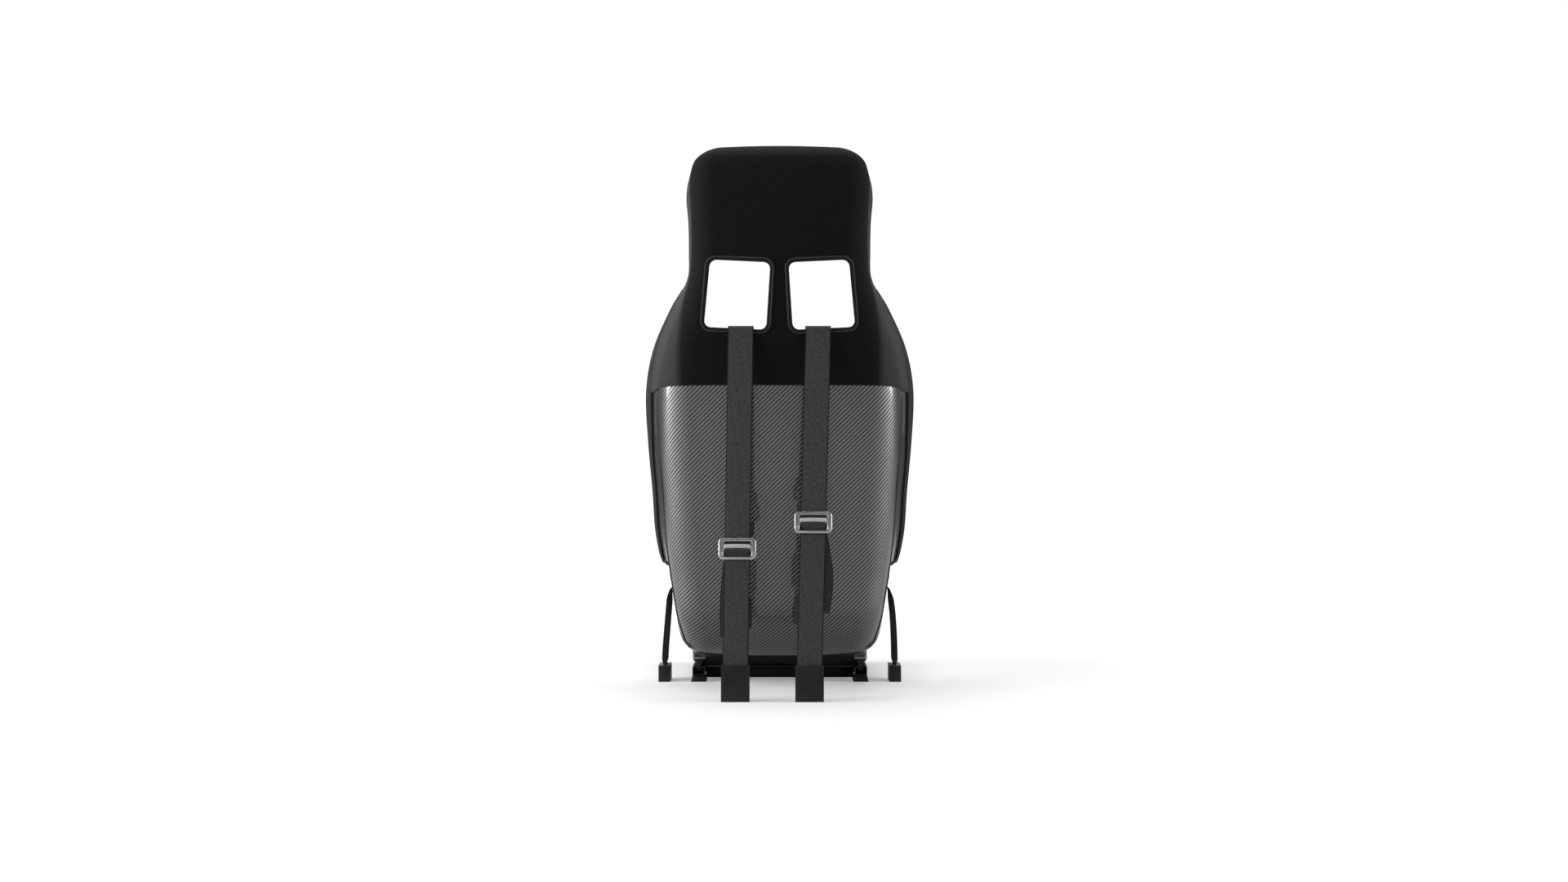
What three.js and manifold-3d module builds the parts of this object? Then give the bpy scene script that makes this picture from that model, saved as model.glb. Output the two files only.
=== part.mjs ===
// Racing bucket seat on slide rails, with a six-point harness. Millimetres, +Z up, the front faces -Y.
// The origin is on the floor, in the middle of the seat's width and length. Left is the driver's left, +X.

import * as THREE from 'three';
import Module from 'manifold-3d';
import { mergeVertices } from 'three/addons/utils/BufferGeometryUtils.js';

const wasm = await Module();
wasm.setup();

// ---------------------------------------------------------------- driving dimensions

const GAP = 0.35;                       // between pieces that touch
const PAD_GAP = 1.6;                    // between a pad or cover and the moulding it lies on

// Bucket: half-widths are to the bare edge of the moulding, before the edge roll is added.
const HEAD_TOP = 1030;
const HEAD_BACK = 350;                  // rearmost part of the bucket
const HEAD_HALF = 171;
const SHOULDER_HALF = 263;
const SHOULDER_HEIGHT = 588;
const SHOULDER_REACH = 250;             // from the back to the edge of the shoulder wing
const HIP_HALF = 234;
const THIGH_HALF = 222;
const THIGH_RISE = 168;                 // bolster edge above the bottom of the pan
const PAN_HEIGHT = 62;                  // lowest point of the moulding above the floor
const PAN_FRONT = -363.4;
const PAN_LIP = 142;
const MOULDING_WALL = 5;
const BACK_CROWN = 5;
const BACK_SLOPE = 0.25;                // how far the back runs forward for each millimetre down

const EDGE_ROLL = { wide: 12, outside: 4, inside: 8, bottomClear: 2 };
const COVER_THICKNESS = 2.4;

// Harness windows: half-distances from the middle and heights of the clear opening.
const WINDOW = {
  innerTop: 16.5, outerTop: 130, innerBottom: 24.5, outerBottom: 142.5, bottom: 695, height: 125,
};
const WINDOW_CORNER = 13;
const WINDOW_TRIM = { wide: 4.6, outside: 4.5, inside: 3 };

// Pads: how far each stands off the moulding.
const BACK_PAD = 24;
const WING_PAD = 22;
const HEAD_PAD = 22;
const THIGH_PAD = 20;
const CUSHION = 42;

// Slide rails
const RAIL = {
  half: 163, wide: 25, wall: 2, lip: 3.5, slip: 2, lower: 17, upper: 14, length: 360, front: -335,
};
const FOOT = { wideBottom: RAIL.wide + 7, wideTop: RAIL.wide, long: 52, high: 13, inset: 3 };
const CROSS_MEMBER = { deep: 24, bottom: 3, high: 22, wall: 2 };
const SEAT_MEMBER = { reach: 24, sheet: 3, clear: 4 };
const CAGE = { high: 3.6, long: 120 };
const BRACKET = { wall: 4, front: -205, back: 12 };
const BOLT = { radius: 4, head: 7.5, headHigh: 5 };
const RELEASE = { tube: 5, arm: 140, pivotY: -205, reach: 125, drop: 4 };

// Harness
const WEBBING = { wide: 48, thick: 2.4, crotchWide: 44 };
const STRAP_SPACING = 145;
const STRAP_LEAN = 13;                  // how far the floor ends lie to the left of the middle
const FLOOR_SPACING = 138;
const SHOULDER_BOOT = { wide: WEBBING.wide + 5, deep: 26, high: 66, lean: 9, rear: 365, wall: 1.8 };
const LAP_BOOT = { wide: 24, deep: WEBBING.wide + 17, high: 33, half: 232, rear: 25, wall: 3 };
const ANCHOR_PLATE = { wall: 4, footHigh: 4 };
const ADJUSTER = { wide: WEBBING.wide + 22, high: 40, bar: 6, deep: 4, corner: 8, leftZ: 283, rightZ: 332 };
const BUCKLE = { radius: 32, high: 16, knob: 24, knobHigh: 9, place: -25 };
const TONGUE = { wide: WEBBING.wide + 2, long: 34, thick: 3 };
const CROTCH_SLOT = { wide: WEBBING.crotchWide + 18, deep: 16, place: -140 };

// ---------------------------------------------------------------- key sections of the bucket
// spine: the outer skin on the middle line (y, z). rim: the free edge (half-width x, y, z).
// corner: half-width where the back turns into the side. fillet: radius of that turn.

const wingEdge = HEAD_BACK - 66 - SHOULDER_REACH;
const bolsterTop = PAN_HEIGHT + THIGH_RISE;

/** A height on the back as a share of the way from the pan up to the shoulders. */
function levelAt(share) {
  return PAN_HEIGHT + share * (SHOULDER_HEIGHT - PAN_HEIGHT);
}

/** The back's middle line at a height, from the shoulders down. */
function backAt(z) {
  return [HEAD_BACK - 66 - BACK_SLOPE * (SHOULDER_HEIGHT - z), z];
}

/** One key section: its name, middle line, free edge, turn and the turn's radius. */
function section(name, spine, rim, corner, fillet) {
  return { name, spine, rim, corner, fillet };
}

const SECTIONS = [
  section('head lip', [HEAD_BACK - 56, HEAD_TOP - 3], [HEAD_HALF - 65, HEAD_BACK - 62, HEAD_TOP - 13],
    HEAD_HALF - 81, 12),
  section('head top', [HEAD_BACK - 28, HEAD_TOP], [HEAD_HALF - 23, HEAD_BACK - 80, HEAD_TOP - 22],
    HEAD_HALF - 45, 30),
  section('head crest', [HEAD_BACK - 8, HEAD_TOP - 14], [HEAD_HALF - 3, HEAD_BACK - 102, HEAD_TOP - 46],
    HEAD_HALF - 19, 40),
  section('head upper', [HEAD_BACK, HEAD_TOP - 55], [HEAD_HALF + 3, HEAD_BACK - 116, HEAD_TOP - 78],
    HEAD_HALF - 11, 45),
  section('head middle', [HEAD_BACK, HEAD_TOP - 115], [HEAD_HALF, HEAD_BACK - 124, HEAD_TOP - 126],
    HEAD_HALF - 13, 45),
  section('head lower', [HEAD_BACK - 6, HEAD_TOP - 180], [HEAD_HALF - 1, HEAD_BACK - 126, HEAD_TOP - 182],
    HEAD_HALF - 14, 45),
  section('neck', [HEAD_BACK - 16, HEAD_TOP - 235], [HEAD_HALF + 2, HEAD_BACK - 138, HEAD_TOP - 234],
    HEAD_HALF - 9, 45),
  section('shoulder top', [HEAD_BACK - 29, SHOULDER_HEIGHT + 147],
    [SHOULDER_HALF - 56, wingEdge + 131, SHOULDER_HEIGHT + 152], SHOULDER_HALF - 86, 50),
  section('shoulder', [HEAD_BACK - 46, SHOULDER_HEIGHT + 77],
    [SHOULDER_HALF - 17, wingEdge + 56, SHOULDER_HEIGHT + 74], SHOULDER_HALF - 58, 60),
  section('widest', backAt(SHOULDER_HEIGHT), [SHOULDER_HALF, wingEdge, SHOULDER_HEIGHT - 6],
    SHOULDER_HALF - 41, 68),
  section('ribs', backAt(levelAt(0.8)), [SHOULDER_HALF - 3, wingEdge - 19, levelAt(0.8) - 3],
    SHOULDER_HALF - 41, 68),
  section('waist', backAt(levelAt(0.614)), [SHOULDER_HALF - 11, wingEdge - 29, levelAt(0.614) - 1],
    SHOULDER_HALF - 47, 66),
  section('hip top', backAt(levelAt(0.458)), [HIP_HALF + 12, wingEdge - 34, levelAt(0.458) - 3],
    HIP_HALF - 22, 64),
  section('hip', backAt(levelAt(0.316)), [HIP_HALF + 1, wingEdge - 44, levelAt(0.316) + 18], HIP_HALF - 27, 62),
  section('tail', backAt(levelAt(0.122)), [HIP_HALF - 12, -45, bolsterTop - 4], HIP_HALF - 35, 60),
  section('heel', [110, PAN_HEIGHT + 6], [THIGH_HALF - 1, -85, bolsterTop - 4], THIGH_HALF - 31, 58),
  section('pan rear', [20, PAN_HEIGHT], [THIGH_HALF, -125, bolsterTop + 2], THIGH_HALF - 34, 58),
  section('pan middle', [-110, PAN_HEIGHT + 22], [THIGH_HALF + 1, -205, bolsterTop + 14],
    THIGH_HALF - 34, 56),
  section('pan front', [PAN_FRONT + 112, PAN_LIP - 22], [THIGH_HALF + 3, PAN_FRONT + 72, bolsterTop + 20],
    THIGH_HALF - 30, 54),
  section('lip', [PAN_FRONT + 37, PAN_LIP], [THIGH_HALF, PAN_FRONT + 32, bolsterTop + 6], THIGH_HALF - 29, 50),
  section('front edge', [PAN_FRONT, PAN_LIP - 10], [THIGH_HALF - 18, PAN_FRONT + 3, PAN_LIP + 42],
    THIGH_HALF - 42, 40),
];
const LAST = SECTIONS.length - 1;

const spineCurve = new THREE.CatmullRomCurve3(SECTIONS.map(({ spine }) => new THREE.Vector3(0, ...spine)));
const rimCurve = new THREE.CatmullRomCurve3(SECTIONS.map(({ rim }) => new THREE.Vector3(...rim)));
const turnCurve = new THREE.CatmullRomCurve3(
  SECTIONS.map(({ corner, fillet }, i) => new THREE.Vector3(corner, fillet, 40 * i)),
);

/** The station number of a named key section. */
function station(name) {
  return SECTIONS.findIndex((key) => key.name === name);
}

/**
 * A point on the outer skin. along: station number. across: 0 on the middle line, 1 where the back's fillet
 * starts, 2 where it ends, 3 on the rim, and one more for each 10 mm past it; negative on the right.
 */
function skinPoint(along, across) {
  const u = THREE.MathUtils.clamp(along / LAST, 0, 1);
  const spine = spineCurve.getPoint(u);
  const rim = rimCurve.getPoint(u);
  const turnOf = turnCurve.getPoint(u);
  const forward = new THREE.Vector3(0, rim.y - spine.y, rim.z - spine.z);
  const depth = forward.length();
  forward.normalize();
  const flare = rim.x - turnOf.x;
  const side = Math.hypot(flare, depth);
  const turn = Math.atan2(depth, flare);
  const run = Math.min(turnOf.y * Math.tan(turn / 2), 0.8 * side);
  const radius = run / Math.tan(turn / 2);
  const a = Math.abs(across);
  const flat = turnOf.x - run;
  let x = Math.min(a, 1) * flat;
  let v = -BACK_CROWN * (1 - Math.min(a, 1) ** 2);
  if (a > 1) {
    const angle = Math.min(a - 1, 1) * turn;
    x += radius * Math.sin(angle);
    v += radius * (1 - Math.cos(angle));
  }
  if (a > 2) {
    const out = Math.min(a - 2, 1) * (side - run) + 10 * Math.max(a - 3, 0);
    x += out * flare / side;
    v += out * depth / side;
  }
  return new THREE.Vector3(Math.sign(across) * x, spine.y + v * forward.y, spine.z + v * forward.z);
}

/** The unit normal of the skin, pointing to the driver. */
function skinNormal(along, across) {
  const step = 0.02;
  const low = Math.max(along - step, 0);
  const high = Math.min(along + step, LAST);
  const down = skinPoint(high, across).sub(skinPoint(low, across));
  const over = skinPoint(along, across + step).sub(skinPoint(along, across - step));
  return over.cross(down).normalize().negate();
}

/** A point some millimetres in from the outer skin, towards the driver. */
function bucketPoint(along, across, inset) {
  return skinPoint(along, across).addScaledVector(skinNormal(along, across), inset);
}

/** The station between two others where a coordinate of the middle line, falling on the way, has a value. */
function stationWhere(axis, value, from, to) {
  let low = from;
  let high = to;
  for (let i = 0; i < 30; i += 1) {
    const middle = (low + high) / 2;
    if (spineCurve.getPoint(middle / LAST)[axis] > value) low = middle;
    else high = middle;
  }
  return low;
}

/** The station where the back's middle line is at a height. */
function stationAtHeight(z) {
  return stationWhere('z', z, station('head upper'), station('tail'));
}

/** The station where the pan's middle line is at a place along the seat. */
function stationAtPlace(y) {
  return stationWhere('y', y, station('heel'), LAST);
}

// ---------------------------------------------------------------- shape helpers

/** A box of cells bent by a function of u, v and w, each 0 to 1. */
function bentBox(cellsU, cellsV, cellsW, place) {
  const geometry = new THREE.BoxGeometry(1, 1, 1, cellsU, cellsV, cellsW);
  const at = geometry.attributes.position;
  for (let i = 0; i < at.count; i += 1) {
    const p = place(at.getX(i) + 0.5, at.getY(i) + 0.5, at.getZ(i) + 0.5);
    at.setXYZ(i, p.x, p.y, p.z);
  }
  return geometry;
}

// Everything that lies on the bucket is divided along the same lines, so that facets stay parallel.
const ALONG_LINES = [
  0, 0.5, 1, 1.5, 2, 2.5, 3, 4, 5, 6, 6.5, 7, 7.5, 8, 8.5, 9, 10, 11, 12, 12.5, 13, 13.5, 14, 14.5, 15, 15.5,
  16, 17, 18, 18.5, 19, 19.5, LAST,
];
const ACROSS_LINES = [-3, -2.5, -2, -1.75, -1.5, -1.25, -1, -0.5, 0, 0.5, 1, 1.25, 1.5, 1.75, 2, 2.5, 3];

/** The two ends of a range and every shared line between them. */
function linesBetween(lines, [from, to]) {
  return [from, ...lines.filter((line) => line > from + 1e-6 && line < to - 1e-6), to];
}

/** A sheet lying on the bucket; insetAt gives its distance from the outer skin at u, v and w. */
function sheet(along, across, insetAt) {
  const rows = linesBetween(ALONG_LINES, along);
  const columns = linesBetween(ACROSS_LINES, across);
  return bentBox(columns.length - 1, rows.length - 1, 1, (u, v, w) => {
    const row = rows[Math.round(v * (rows.length - 1))];
    const column = columns[Math.round(u * (columns.length - 1))];
    return bucketPoint(row, column, insetAt(u, v, w));
  });
}

/** A sheet of even thickness between two insets. */
function layer({ along, across, inset }) {
  return sheet(along, across, (u, v, w) => THREE.MathUtils.lerp(inset[1], inset[0], w));
}

/** A pad on the bucket: a sheet with a full middle and edges that thin towards the moulding. */
function pad({ along, across, high, edge = 0.5 }) {
  return sheet(along, across, (u, v, w) => {
    const swell = Math.min(1, edge + 4 * Math.min(u, 1 - u, v, 1 - v));
    return MOULDING_WALL + PAD_GAP + (1 - w) * high * swell;
  });
}

/** Mirrors a pair of places across the middle for the right-hand copy. */
function onSide(side, [near, far]) {
  return side > 0 ? [near, far] : [-far, -near];
}

function solidOf(geometry) {
  const bare = geometry.clone();
  bare.deleteAttribute('normal');
  bare.deleteAttribute('uv');
  const merged = mergeVertices(bare, 1e-4);
  return new wasm.Manifold(new wasm.Mesh({
    numProp: 3,
    vertProperties: new Float32Array(merged.attributes.position.array),
    triVerts: new Uint32Array(merged.index.array),
  }));
}

function geometryOf(solid) {
  const { vertProperties, triVerts } = solid.getMesh();
  const geometry = new THREE.BufferGeometry();
  geometry.setAttribute('position', new THREE.BufferAttribute(new Float32Array(vertProperties), 3));
  geometry.setIndex(new THREE.BufferAttribute(new Uint32Array(triVerts), 1));
  geometry.computeVertexNormals();
  return geometry;
}

/** One geometry with the others cut out of it. */
function cut(geometry, ...tools) {
  return geometryOf(tools.reduce((solid, tool) => solid.subtract(solidOf(tool)), solidOf(geometry)));
}

/** Several overlapping geometries as one. */
function join(geometry, ...others) {
  return geometryOf(others.reduce((solid, other) => solid.add(solidOf(other)), solidOf(geometry)));
}

/** An axis-aligned box from its lowest to its highest corner. */
function block(low, high) {
  const size = high.map((value, i) => value - low[i]);
  return new THREE.BoxGeometry(...size).translate(...low.map((value, i) => value + size[i] / 2));
}

/** A closed outline of straight edges with rounded corners. */
function roundedOutline(points, radius) {
  const corners = points.map((p) => new THREE.Vector2(...p));
  const shape = new THREE.Shape();
  corners.forEach((corner, i) => {
    const before = corners[(i + corners.length - 1) % corners.length];
    const after = corners[(i + 1) % corners.length];
    const enter = corner.clone().add(before.clone().sub(corner).setLength(radius));
    const leave = corner.clone().add(after.clone().sub(corner).setLength(radius));
    if (i === 0) shape.moveTo(enter.x, enter.y);
    else shape.lineTo(enter.x, enter.y);
    shape.quadraticCurveTo(corner.x, corner.y, leave.x, leave.y);
  });
  shape.closePath();
  return shape;
}

/** An outline in X and Z, extruded along Y between two places. */
function alongY(shape, from, to, curveSegments = 3) {
  const geometry = new THREE.ExtrudeGeometry(shape, { depth: to - from, bevelEnabled: false, curveSegments });
  return geometry.rotateX(Math.PI / 2).translate(0, to, 0);
}

/** An outline in Y and Z, extruded along X between two places. */
function alongX(shape, from, to, curveSegments = 3) {
  const geometry = new THREE.ExtrudeGeometry(shape, { depth: to - from, bevelEnabled: false, curveSegments });
  return geometry.rotateX(Math.PI / 2).rotateZ(Math.PI / 2).translate(from, 0, 0);
}

function rectangle(halfWide, halfHigh) {
  return [[-halfWide, -halfHigh], [halfWide, -halfHigh], [halfWide, halfHigh], [-halfWide, halfHigh]];
}

/** Webbing along a smooth curve; wideAt gives the direction of its width from 0 to 1 along it. */
function webbing(points, wideAt, cells, wide = WEBBING.wide) {
  const places = points.map((p) => new THREE.Vector3(...p));
  const curve = new THREE.CatmullRomCurve3(places, false, 'catmullrom', 0.3);
  return bentBox(1, cells, 1, (u, v, w) => {
    const over = new THREE.Vector3(...wideAt(v)).normalize();
    const out = over.clone().cross(curve.getTangent(v)).normalize();
    return curve.getPoint(v)
      .addScaledVector(over, (u - 0.5) * wide)
      .addScaledVector(out, (w - 0.5) * WEBBING.thick);
  });
}

// ---------------------------------------------------------------- materials and nodes

const FINISH = {
  carbon: { color: 0x4a4a4c, roughness: 0.22, metalness: 0.1 },
  fabric: { color: 0x1b1b1d, roughness: 0.95, metalness: 0 },
  piping: { color: 0x3a3a3c, roughness: 0.8, metalness: 0 },
  webbing: { color: 0x1e1e20, roughness: 0.9, metalness: 0 },
  blackSteel: { color: 0x141414, roughness: 0.5, metalness: 0.6 },
  bootPlastic: { color: 0x28282a, roughness: 0.45, metalness: 0 },
  brightSteel: { color: 0xb8bcc0, roughness: 0.25, metalness: 1 },
  aluminium: { color: 0x8d9094, roughness: 0.4, metalness: 1 },
};

const seat = new THREE.Group();

function addPiece(name, geometry, finish, parent = seat) {
  const mesh = new THREE.Mesh(geometry, new THREE.MeshStandardMaterial(FINISH[finish]));
  mesh.name = name;
  parent.add(mesh);
  return mesh;
}

/** Calls a builder for the left side, then for the right. */
function bothSides(build) {
  build('left', 1);
  build('right', -1);
}

// ---------------------------------------------------------------- openings in the bucket

/** The window on one side as a bar along Y, its outline grown outwards by a margin. */
function windowBar(side, margin) {
  const { innerTop, outerTop, innerBottom, outerBottom, bottom, height } = WINDOW;
  const low = bottom - margin;
  const high = bottom + height + margin;
  const corners = [
    [innerBottom - margin, low], [outerBottom + margin, low],
    [outerTop + margin, high], [innerTop - margin, high],
  ];
  const outline = roundedOutline(corners.map(([x, z]) => [side * x, z]), WINDOW_CORNER + margin);
  return alongY(outline, HEAD_BACK - 150, HEAD_BACK + 50, 4);
}

// The lap strap's notch in each side, seen from the side: it opens forwards between wing and bolster.
const NOTCH = { floor: 186, rear: 128, top: 243, middle: -45, wide: WEBBING.wide + 14 };

function notchBar(side) {
  const { floor, rear, top, middle, wide } = NOTCH;
  const front = middle - wide / 2;
  const outline = new THREE.Shape([
    [front, floor], [middle + wide / 2, floor - 1], [rear - 70, floor + 26], [rear, top - 12],
    [rear - 12, top - 2], [rear - 70, top], [wingEdge - 20, top - 4], [wingEdge - 42, top - 9],
    [wingEdge - 60, top + 40],
    [front - 20, top + 40], [front - 8, floor + 22],
  ].map((p) => new THREE.Vector2(...p)));
  return side > 0 ? alongX(outline, 150, 320) : alongX(outline, -320, -150);
}

/** The half-width of the outer skin where the side passes a place and a height. */
function skinHalfAt(y, z) {
  let best = Infinity;
  let half = 0;
  for (let along = station('hip top'); along <= station('pan middle'); along += 0.1) {
    for (let across = 1.5; across <= 3; across += 0.05) {
      const p = skinPoint(along, across);
      const miss = Math.hypot(p.y - y, p.z - z);
      if (miss < best) {
        best = miss;
        half = p.x;
      }
    }
  }
  return half;
}

const crotchSlot = block([-CROTCH_SLOT.wide / 2, CROTCH_SLOT.place - CROTCH_SLOT.deep / 2, 0],
  [CROTCH_SLOT.wide / 2, CROTCH_SLOT.place + CROTCH_SLOT.deep / 2, PAN_HEIGHT + 140]);

// ---------------------------------------------------------------- bucket, cover and trims

const base = MOULDING_WALL + PAD_GAP;
const boltStations = [stationAtPlace(BRACKET.front + 40), stationAtPlace(BRACKET.back - 40)];
const BOLT_ACROSS = 2.15;

/** A cylinder through the side wall where a bracket bolt goes, reaching from an outer to an inner inset. */
function boltBar(side, along, radius, from, to, sides = 12) {
  const start = bucketPoint(along, side * BOLT_ACROSS, from);
  const end = bucketPoint(along, side * BOLT_ACROSS, to);
  const direction = end.clone().sub(start).normalize();
  const bar = new THREE.CylinderGeometry(radius, radius, to - from, sides);
  bar.applyQuaternion(new THREE.Quaternion().setFromUnitVectors(new THREE.Vector3(0, 1, 0), direction));
  return bar.translate(...start.add(end).multiplyScalar(0.5).toArray());
}

function buildBucket() {
  const moulding = layer({ along: [0, LAST], across: [-3, 3], inset: [0, MOULDING_WALL] });
  const margin = WINDOW_TRIM.wide + GAP;
  const holes = boltStations.flatMap((along) => (
    [1, -1].map((side) => boltBar(side, along, BOLT.radius + GAP, -8, 12))));
  addPiece('moulding', cut(moulding, windowBar(1, margin), windowBar(-1, margin), notchBar(1), notchBar(-1),
    crotchSlot, ...holes), 'carbon');

  const cover = layer({
    along: [station('head lip') + 0.5, station('widest')], across: [-3, 3],
    inset: [-PAD_GAP - COVER_THICKNESS, -PAD_GAP],
  });
  addPiece('rear_cover', cut(cover, windowBar(1, margin), windowBar(-1, margin)), 'fabric');
}

function buildWindowTrim(name, side) {
  const ring = solidOf(windowBar(side, WINDOW_TRIM.wide)).subtract(solidOf(windowBar(side, 0)));
  const band = layer({
    along: [stationAtHeight(WINDOW.bottom + WINDOW.height + 30), stationAtHeight(WINDOW.bottom - 30)],
    across: onSide(side, [0, 1.7]), inset: [-WINDOW_TRIM.outside, MOULDING_WALL + WINDOW_TRIM.inside],
  });
  addPiece(`window_trim_${name}`, geometryOf(ring.intersect(solidOf(band))), 'piping');
}

function buildEdgeRoll(name, side) {
  const { wide, outside, inside, bottomClear } = EDGE_ROLL;
  const start = 3 + 3 * GAP / 10;
  const end = start + wide / 10;
  const rows = linesBetween(ALONG_LINES, [station('head top') + 0.5, station('hip') + 0.5]);
  const { lerp } = THREE.MathUtils;
  const roll = bentBox(2, rows.length - 1, 2, (u, v, w) => {
    const round = 0.72 + 0.28 * (1 - (2 * u - 1) ** 2);
    const middle = (inside - outside) / 2;
    const half = (inside + outside) / 2 * round;
    const across = lerp(...(side > 0 ? [start, end] : [-end, -start]), u);
    const spread = w === 0.5 ? 1.12 : 1;
    const reach = Math.sign(across) * (start + (Math.abs(across) - start) * spread);
    return bucketPoint(rows[Math.round(v * (rows.length - 1))], reach, middle + (1 - 2 * w) * half);
  });
  const clear = block([-400, -400, 0], [400, 400, NOTCH.top - 9 - bottomClear]);
  addPiece(`edge_roll_${name}`, cut(roll, clear), 'fabric');
}

// ---------------------------------------------------------------- pads

function buildPads() {
  const headSpan = [station('head top') + 0.5, station('head lower')];
  const backSpan = [station('shoulder'), station('hip') + 0.5];
  const seatSpan = [station('tail') + 0.5, station('lip') + 0.5];
  addPiece('head_pad', pad({ along: headSpan, across: [-3, 3], high: HEAD_PAD }), 'fabric');
  addPiece('back_pad', pad({ along: backSpan, across: [-1, 1], high: BACK_PAD }), 'fabric');
  const cushion = pad({ along: seatSpan, across: [-1, 1], high: CUSHION });
  addPiece('seat_cushion', cut(cushion, crotchSlot), 'fabric');
  bothSides((name, side) => {
    const wingSpan = [station('shoulder top'), station('hip top') + 0.5];
    const thighSpan = [station('pan rear'), station('lip') + 0.5];
    const wing = pad({ along: wingSpan, across: onSide(side, [1.5, 3]), high: WING_PAD });
    const thigh = pad({ along: thighSpan, across: onSide(side, [1.25, 3]), high: THIGH_PAD });
    addPiece(`wing_pad_${name}`, wing, 'fabric');
    addPiece(`thigh_pad_${name}`, thigh, 'fabric');
  });
}

// ---------------------------------------------------------------- rails, feet and brackets

const railBottom = FOOT.high + GAP;
const railTop = railBottom + RAIL.lower + RAIL.upper;
const railBack = RAIL.front + RAIL.length;
const memberHalf = RAIL.half - RAIL.wide / 2 - GAP;

/** An outline of straight edges that is the same on both sides of the middle. */
function mirroredShape(half) {
  const other = half.map(([x, z]) => [-x, z]).reverse();
  return new THREE.Shape([...half, ...other].map((p) => new THREE.Vector2(...p)));
}

function buildRails(name, side) {
  const { wide, wall, lip, slip, lower, front } = RAIL;
  const half = wide / 2;
  const mouth = half - wall - lip;
  const channel = mirroredShape([
    [half, 0], [half, lower], [mouth, lower], [mouth, lower - wall], [half - wall, lower - wall],
    [half - wall, wall],
  ]);
  const lowerRail = alongY(channel, front, railBack).translate(side * RAIL.half, 0, railBottom);
  addPiece(`lower_rail_${name}`, lowerRail, 'blackSteel');

  const foot = half - wall - slip;
  const stem = mouth - 1.5;
  const flange = half - 1.5;
  const slider = railTop - railBottom;
  const flangeLow = slider - 3;
  const footLow = lower / 2;
  const upper = mirroredShape([
    [foot, footLow], [foot, footLow + wall], [stem, footLow + wall], [stem, flangeLow], [flange, flangeLow],
    [flange, slider],
  ]);
  const upperRail = alongY(upper, front + 8, railBack - 8).translate(side * RAIL.half, 0, railBottom);
  addPiece(`upper_rail_${name}`, upperRail, 'blackSteel');

  const cageMiddle = (front + railBack) / 2;
  const cageLow = railBottom + wall + 0.6;
  addPiece(`ball_cage_${name}`, block([side * RAIL.half - foot, cageMiddle - CAGE.long / 2, cageLow],
    [side * RAIL.half + foot, cageMiddle + CAGE.long / 2, cageLow + CAGE.high]), 'brightSteel');

  [['front', front + FOOT.inset + FOOT.long / 2], ['rear', railBack - FOOT.long / 2]].forEach(([end, y]) => {
    const wedge = bentBox(1, 1, 1, (u, v, w) => {
      const across = THREE.MathUtils.lerp(FOOT.wideBottom, FOOT.wideTop, w);
      const long = FOOT.long - 6 * w;
      return new THREE.Vector3(side * RAIL.half + (u - 0.5) * across, y + (v - 0.5) * long, w * FOOT.high);
    });
    addPiece(`rail_foot_${end}_${name}`, wedge, 'blackSteel');
  });
}

function buildCrossMembers() {
  const { deep, bottom, high, wall } = CROSS_MEMBER;
  const fromEnd = FOOT.inset + FOOT.long + 4;
  const corners = (margin) => (
    rectangle(deep / 2 - margin, high / 2 - margin).map((p) => new THREE.Vector2(...p)));
  [['front', RAIL.front + fromEnd], ['rear', railBack - fromEnd - deep]].forEach(([end, y]) => {
    const tube = new THREE.Shape(corners(0));
    tube.holes.push(new THREE.Path(corners(wall)));
    const member = alongX(tube, -memberHalf, memberHalf).translate(0, y + deep / 2, bottom + high / 2);
    addPiece(`cross_member_${end}`, member, 'blackSteel');
  });
  const { sheet: steel, reach } = SEAT_MEMBER;
  const low = bottom + high + SEAT_MEMBER.clear;
  const top = PAN_HEIGHT - BACK_CROWN - SEAT_MEMBER.clear;
  const fold = new THREE.Shape([
    [0, low], [reach, low], [reach, low + steel], [steel, low + steel],
    [steel, top - steel], [reach, top - steel], [reach, top], [0, top],
  ].map((p) => new THREE.Vector2(...p)));
  const member = alongX(fold, -memberHalf, memberHalf).translate(0, BRACKET.back - reach, 0);
  addPiece('seat_cross_member', member, 'blackSteel');
}

function buildBracket(name, side) {
  const { wall, front, back } = BRACKET;
  const outer = RAIL.half + RAIL.wide / 2;
  const low = railTop + GAP;
  const flange = block([outer - RAIL.wide, front, low], [outer, back, low + wall]);
  const web = block([outer - wall, front, low], [outer, back, PAN_HEIGHT + 70]);
  if (side < 0) {
    flange.translate(RAIL.wide - 2 * outer, 0, 0);
    web.translate(wall - 2 * outer, 0, 0);
  }
  const along = [stationAtPlace(back - 2), stationAtPlace(front + 2)];
  const shoe = layer({ along, across: onSide(side, [1.25, 2.5]), inset: [-PAD_GAP - wall, -PAD_GAP] });
  const body = layer({ along: [station('tail'), LAST], across: [-3, 3], inset: [-GAP, 40] });
  const trimmed = solidOf(web).subtract(solidOf(body));
  const bottomPart = trimmed.decompose().sort((a, b) => a.boundingBox().min[2] - b.boundingBox().min[2])[0];
  const holes = boltStations.map((at) => boltBar(side, at, BOLT.radius + GAP, -10, 4));
  const bracket = solidOf(flange).add(bottomPart).add(solidOf(shoe));
  addPiece(`side_bracket_${name}`, cut(geometryOf(bracket), ...holes), 'aluminium');
  boltStations.forEach((at, i) => {
    const face = -PAD_GAP - wall - GAP;
    const head = boltBar(side, at, BOLT.head, face - BOLT.headHigh, face, 6);
    const shank = boltBar(side, at, BOLT.radius, face - 1, MOULDING_WALL - 0.5);
    addPiece(`bracket_bolt_${i ? 'rear' : 'front'}_${name}`, join(head, shank), 'brightSteel');
  });
}

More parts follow.
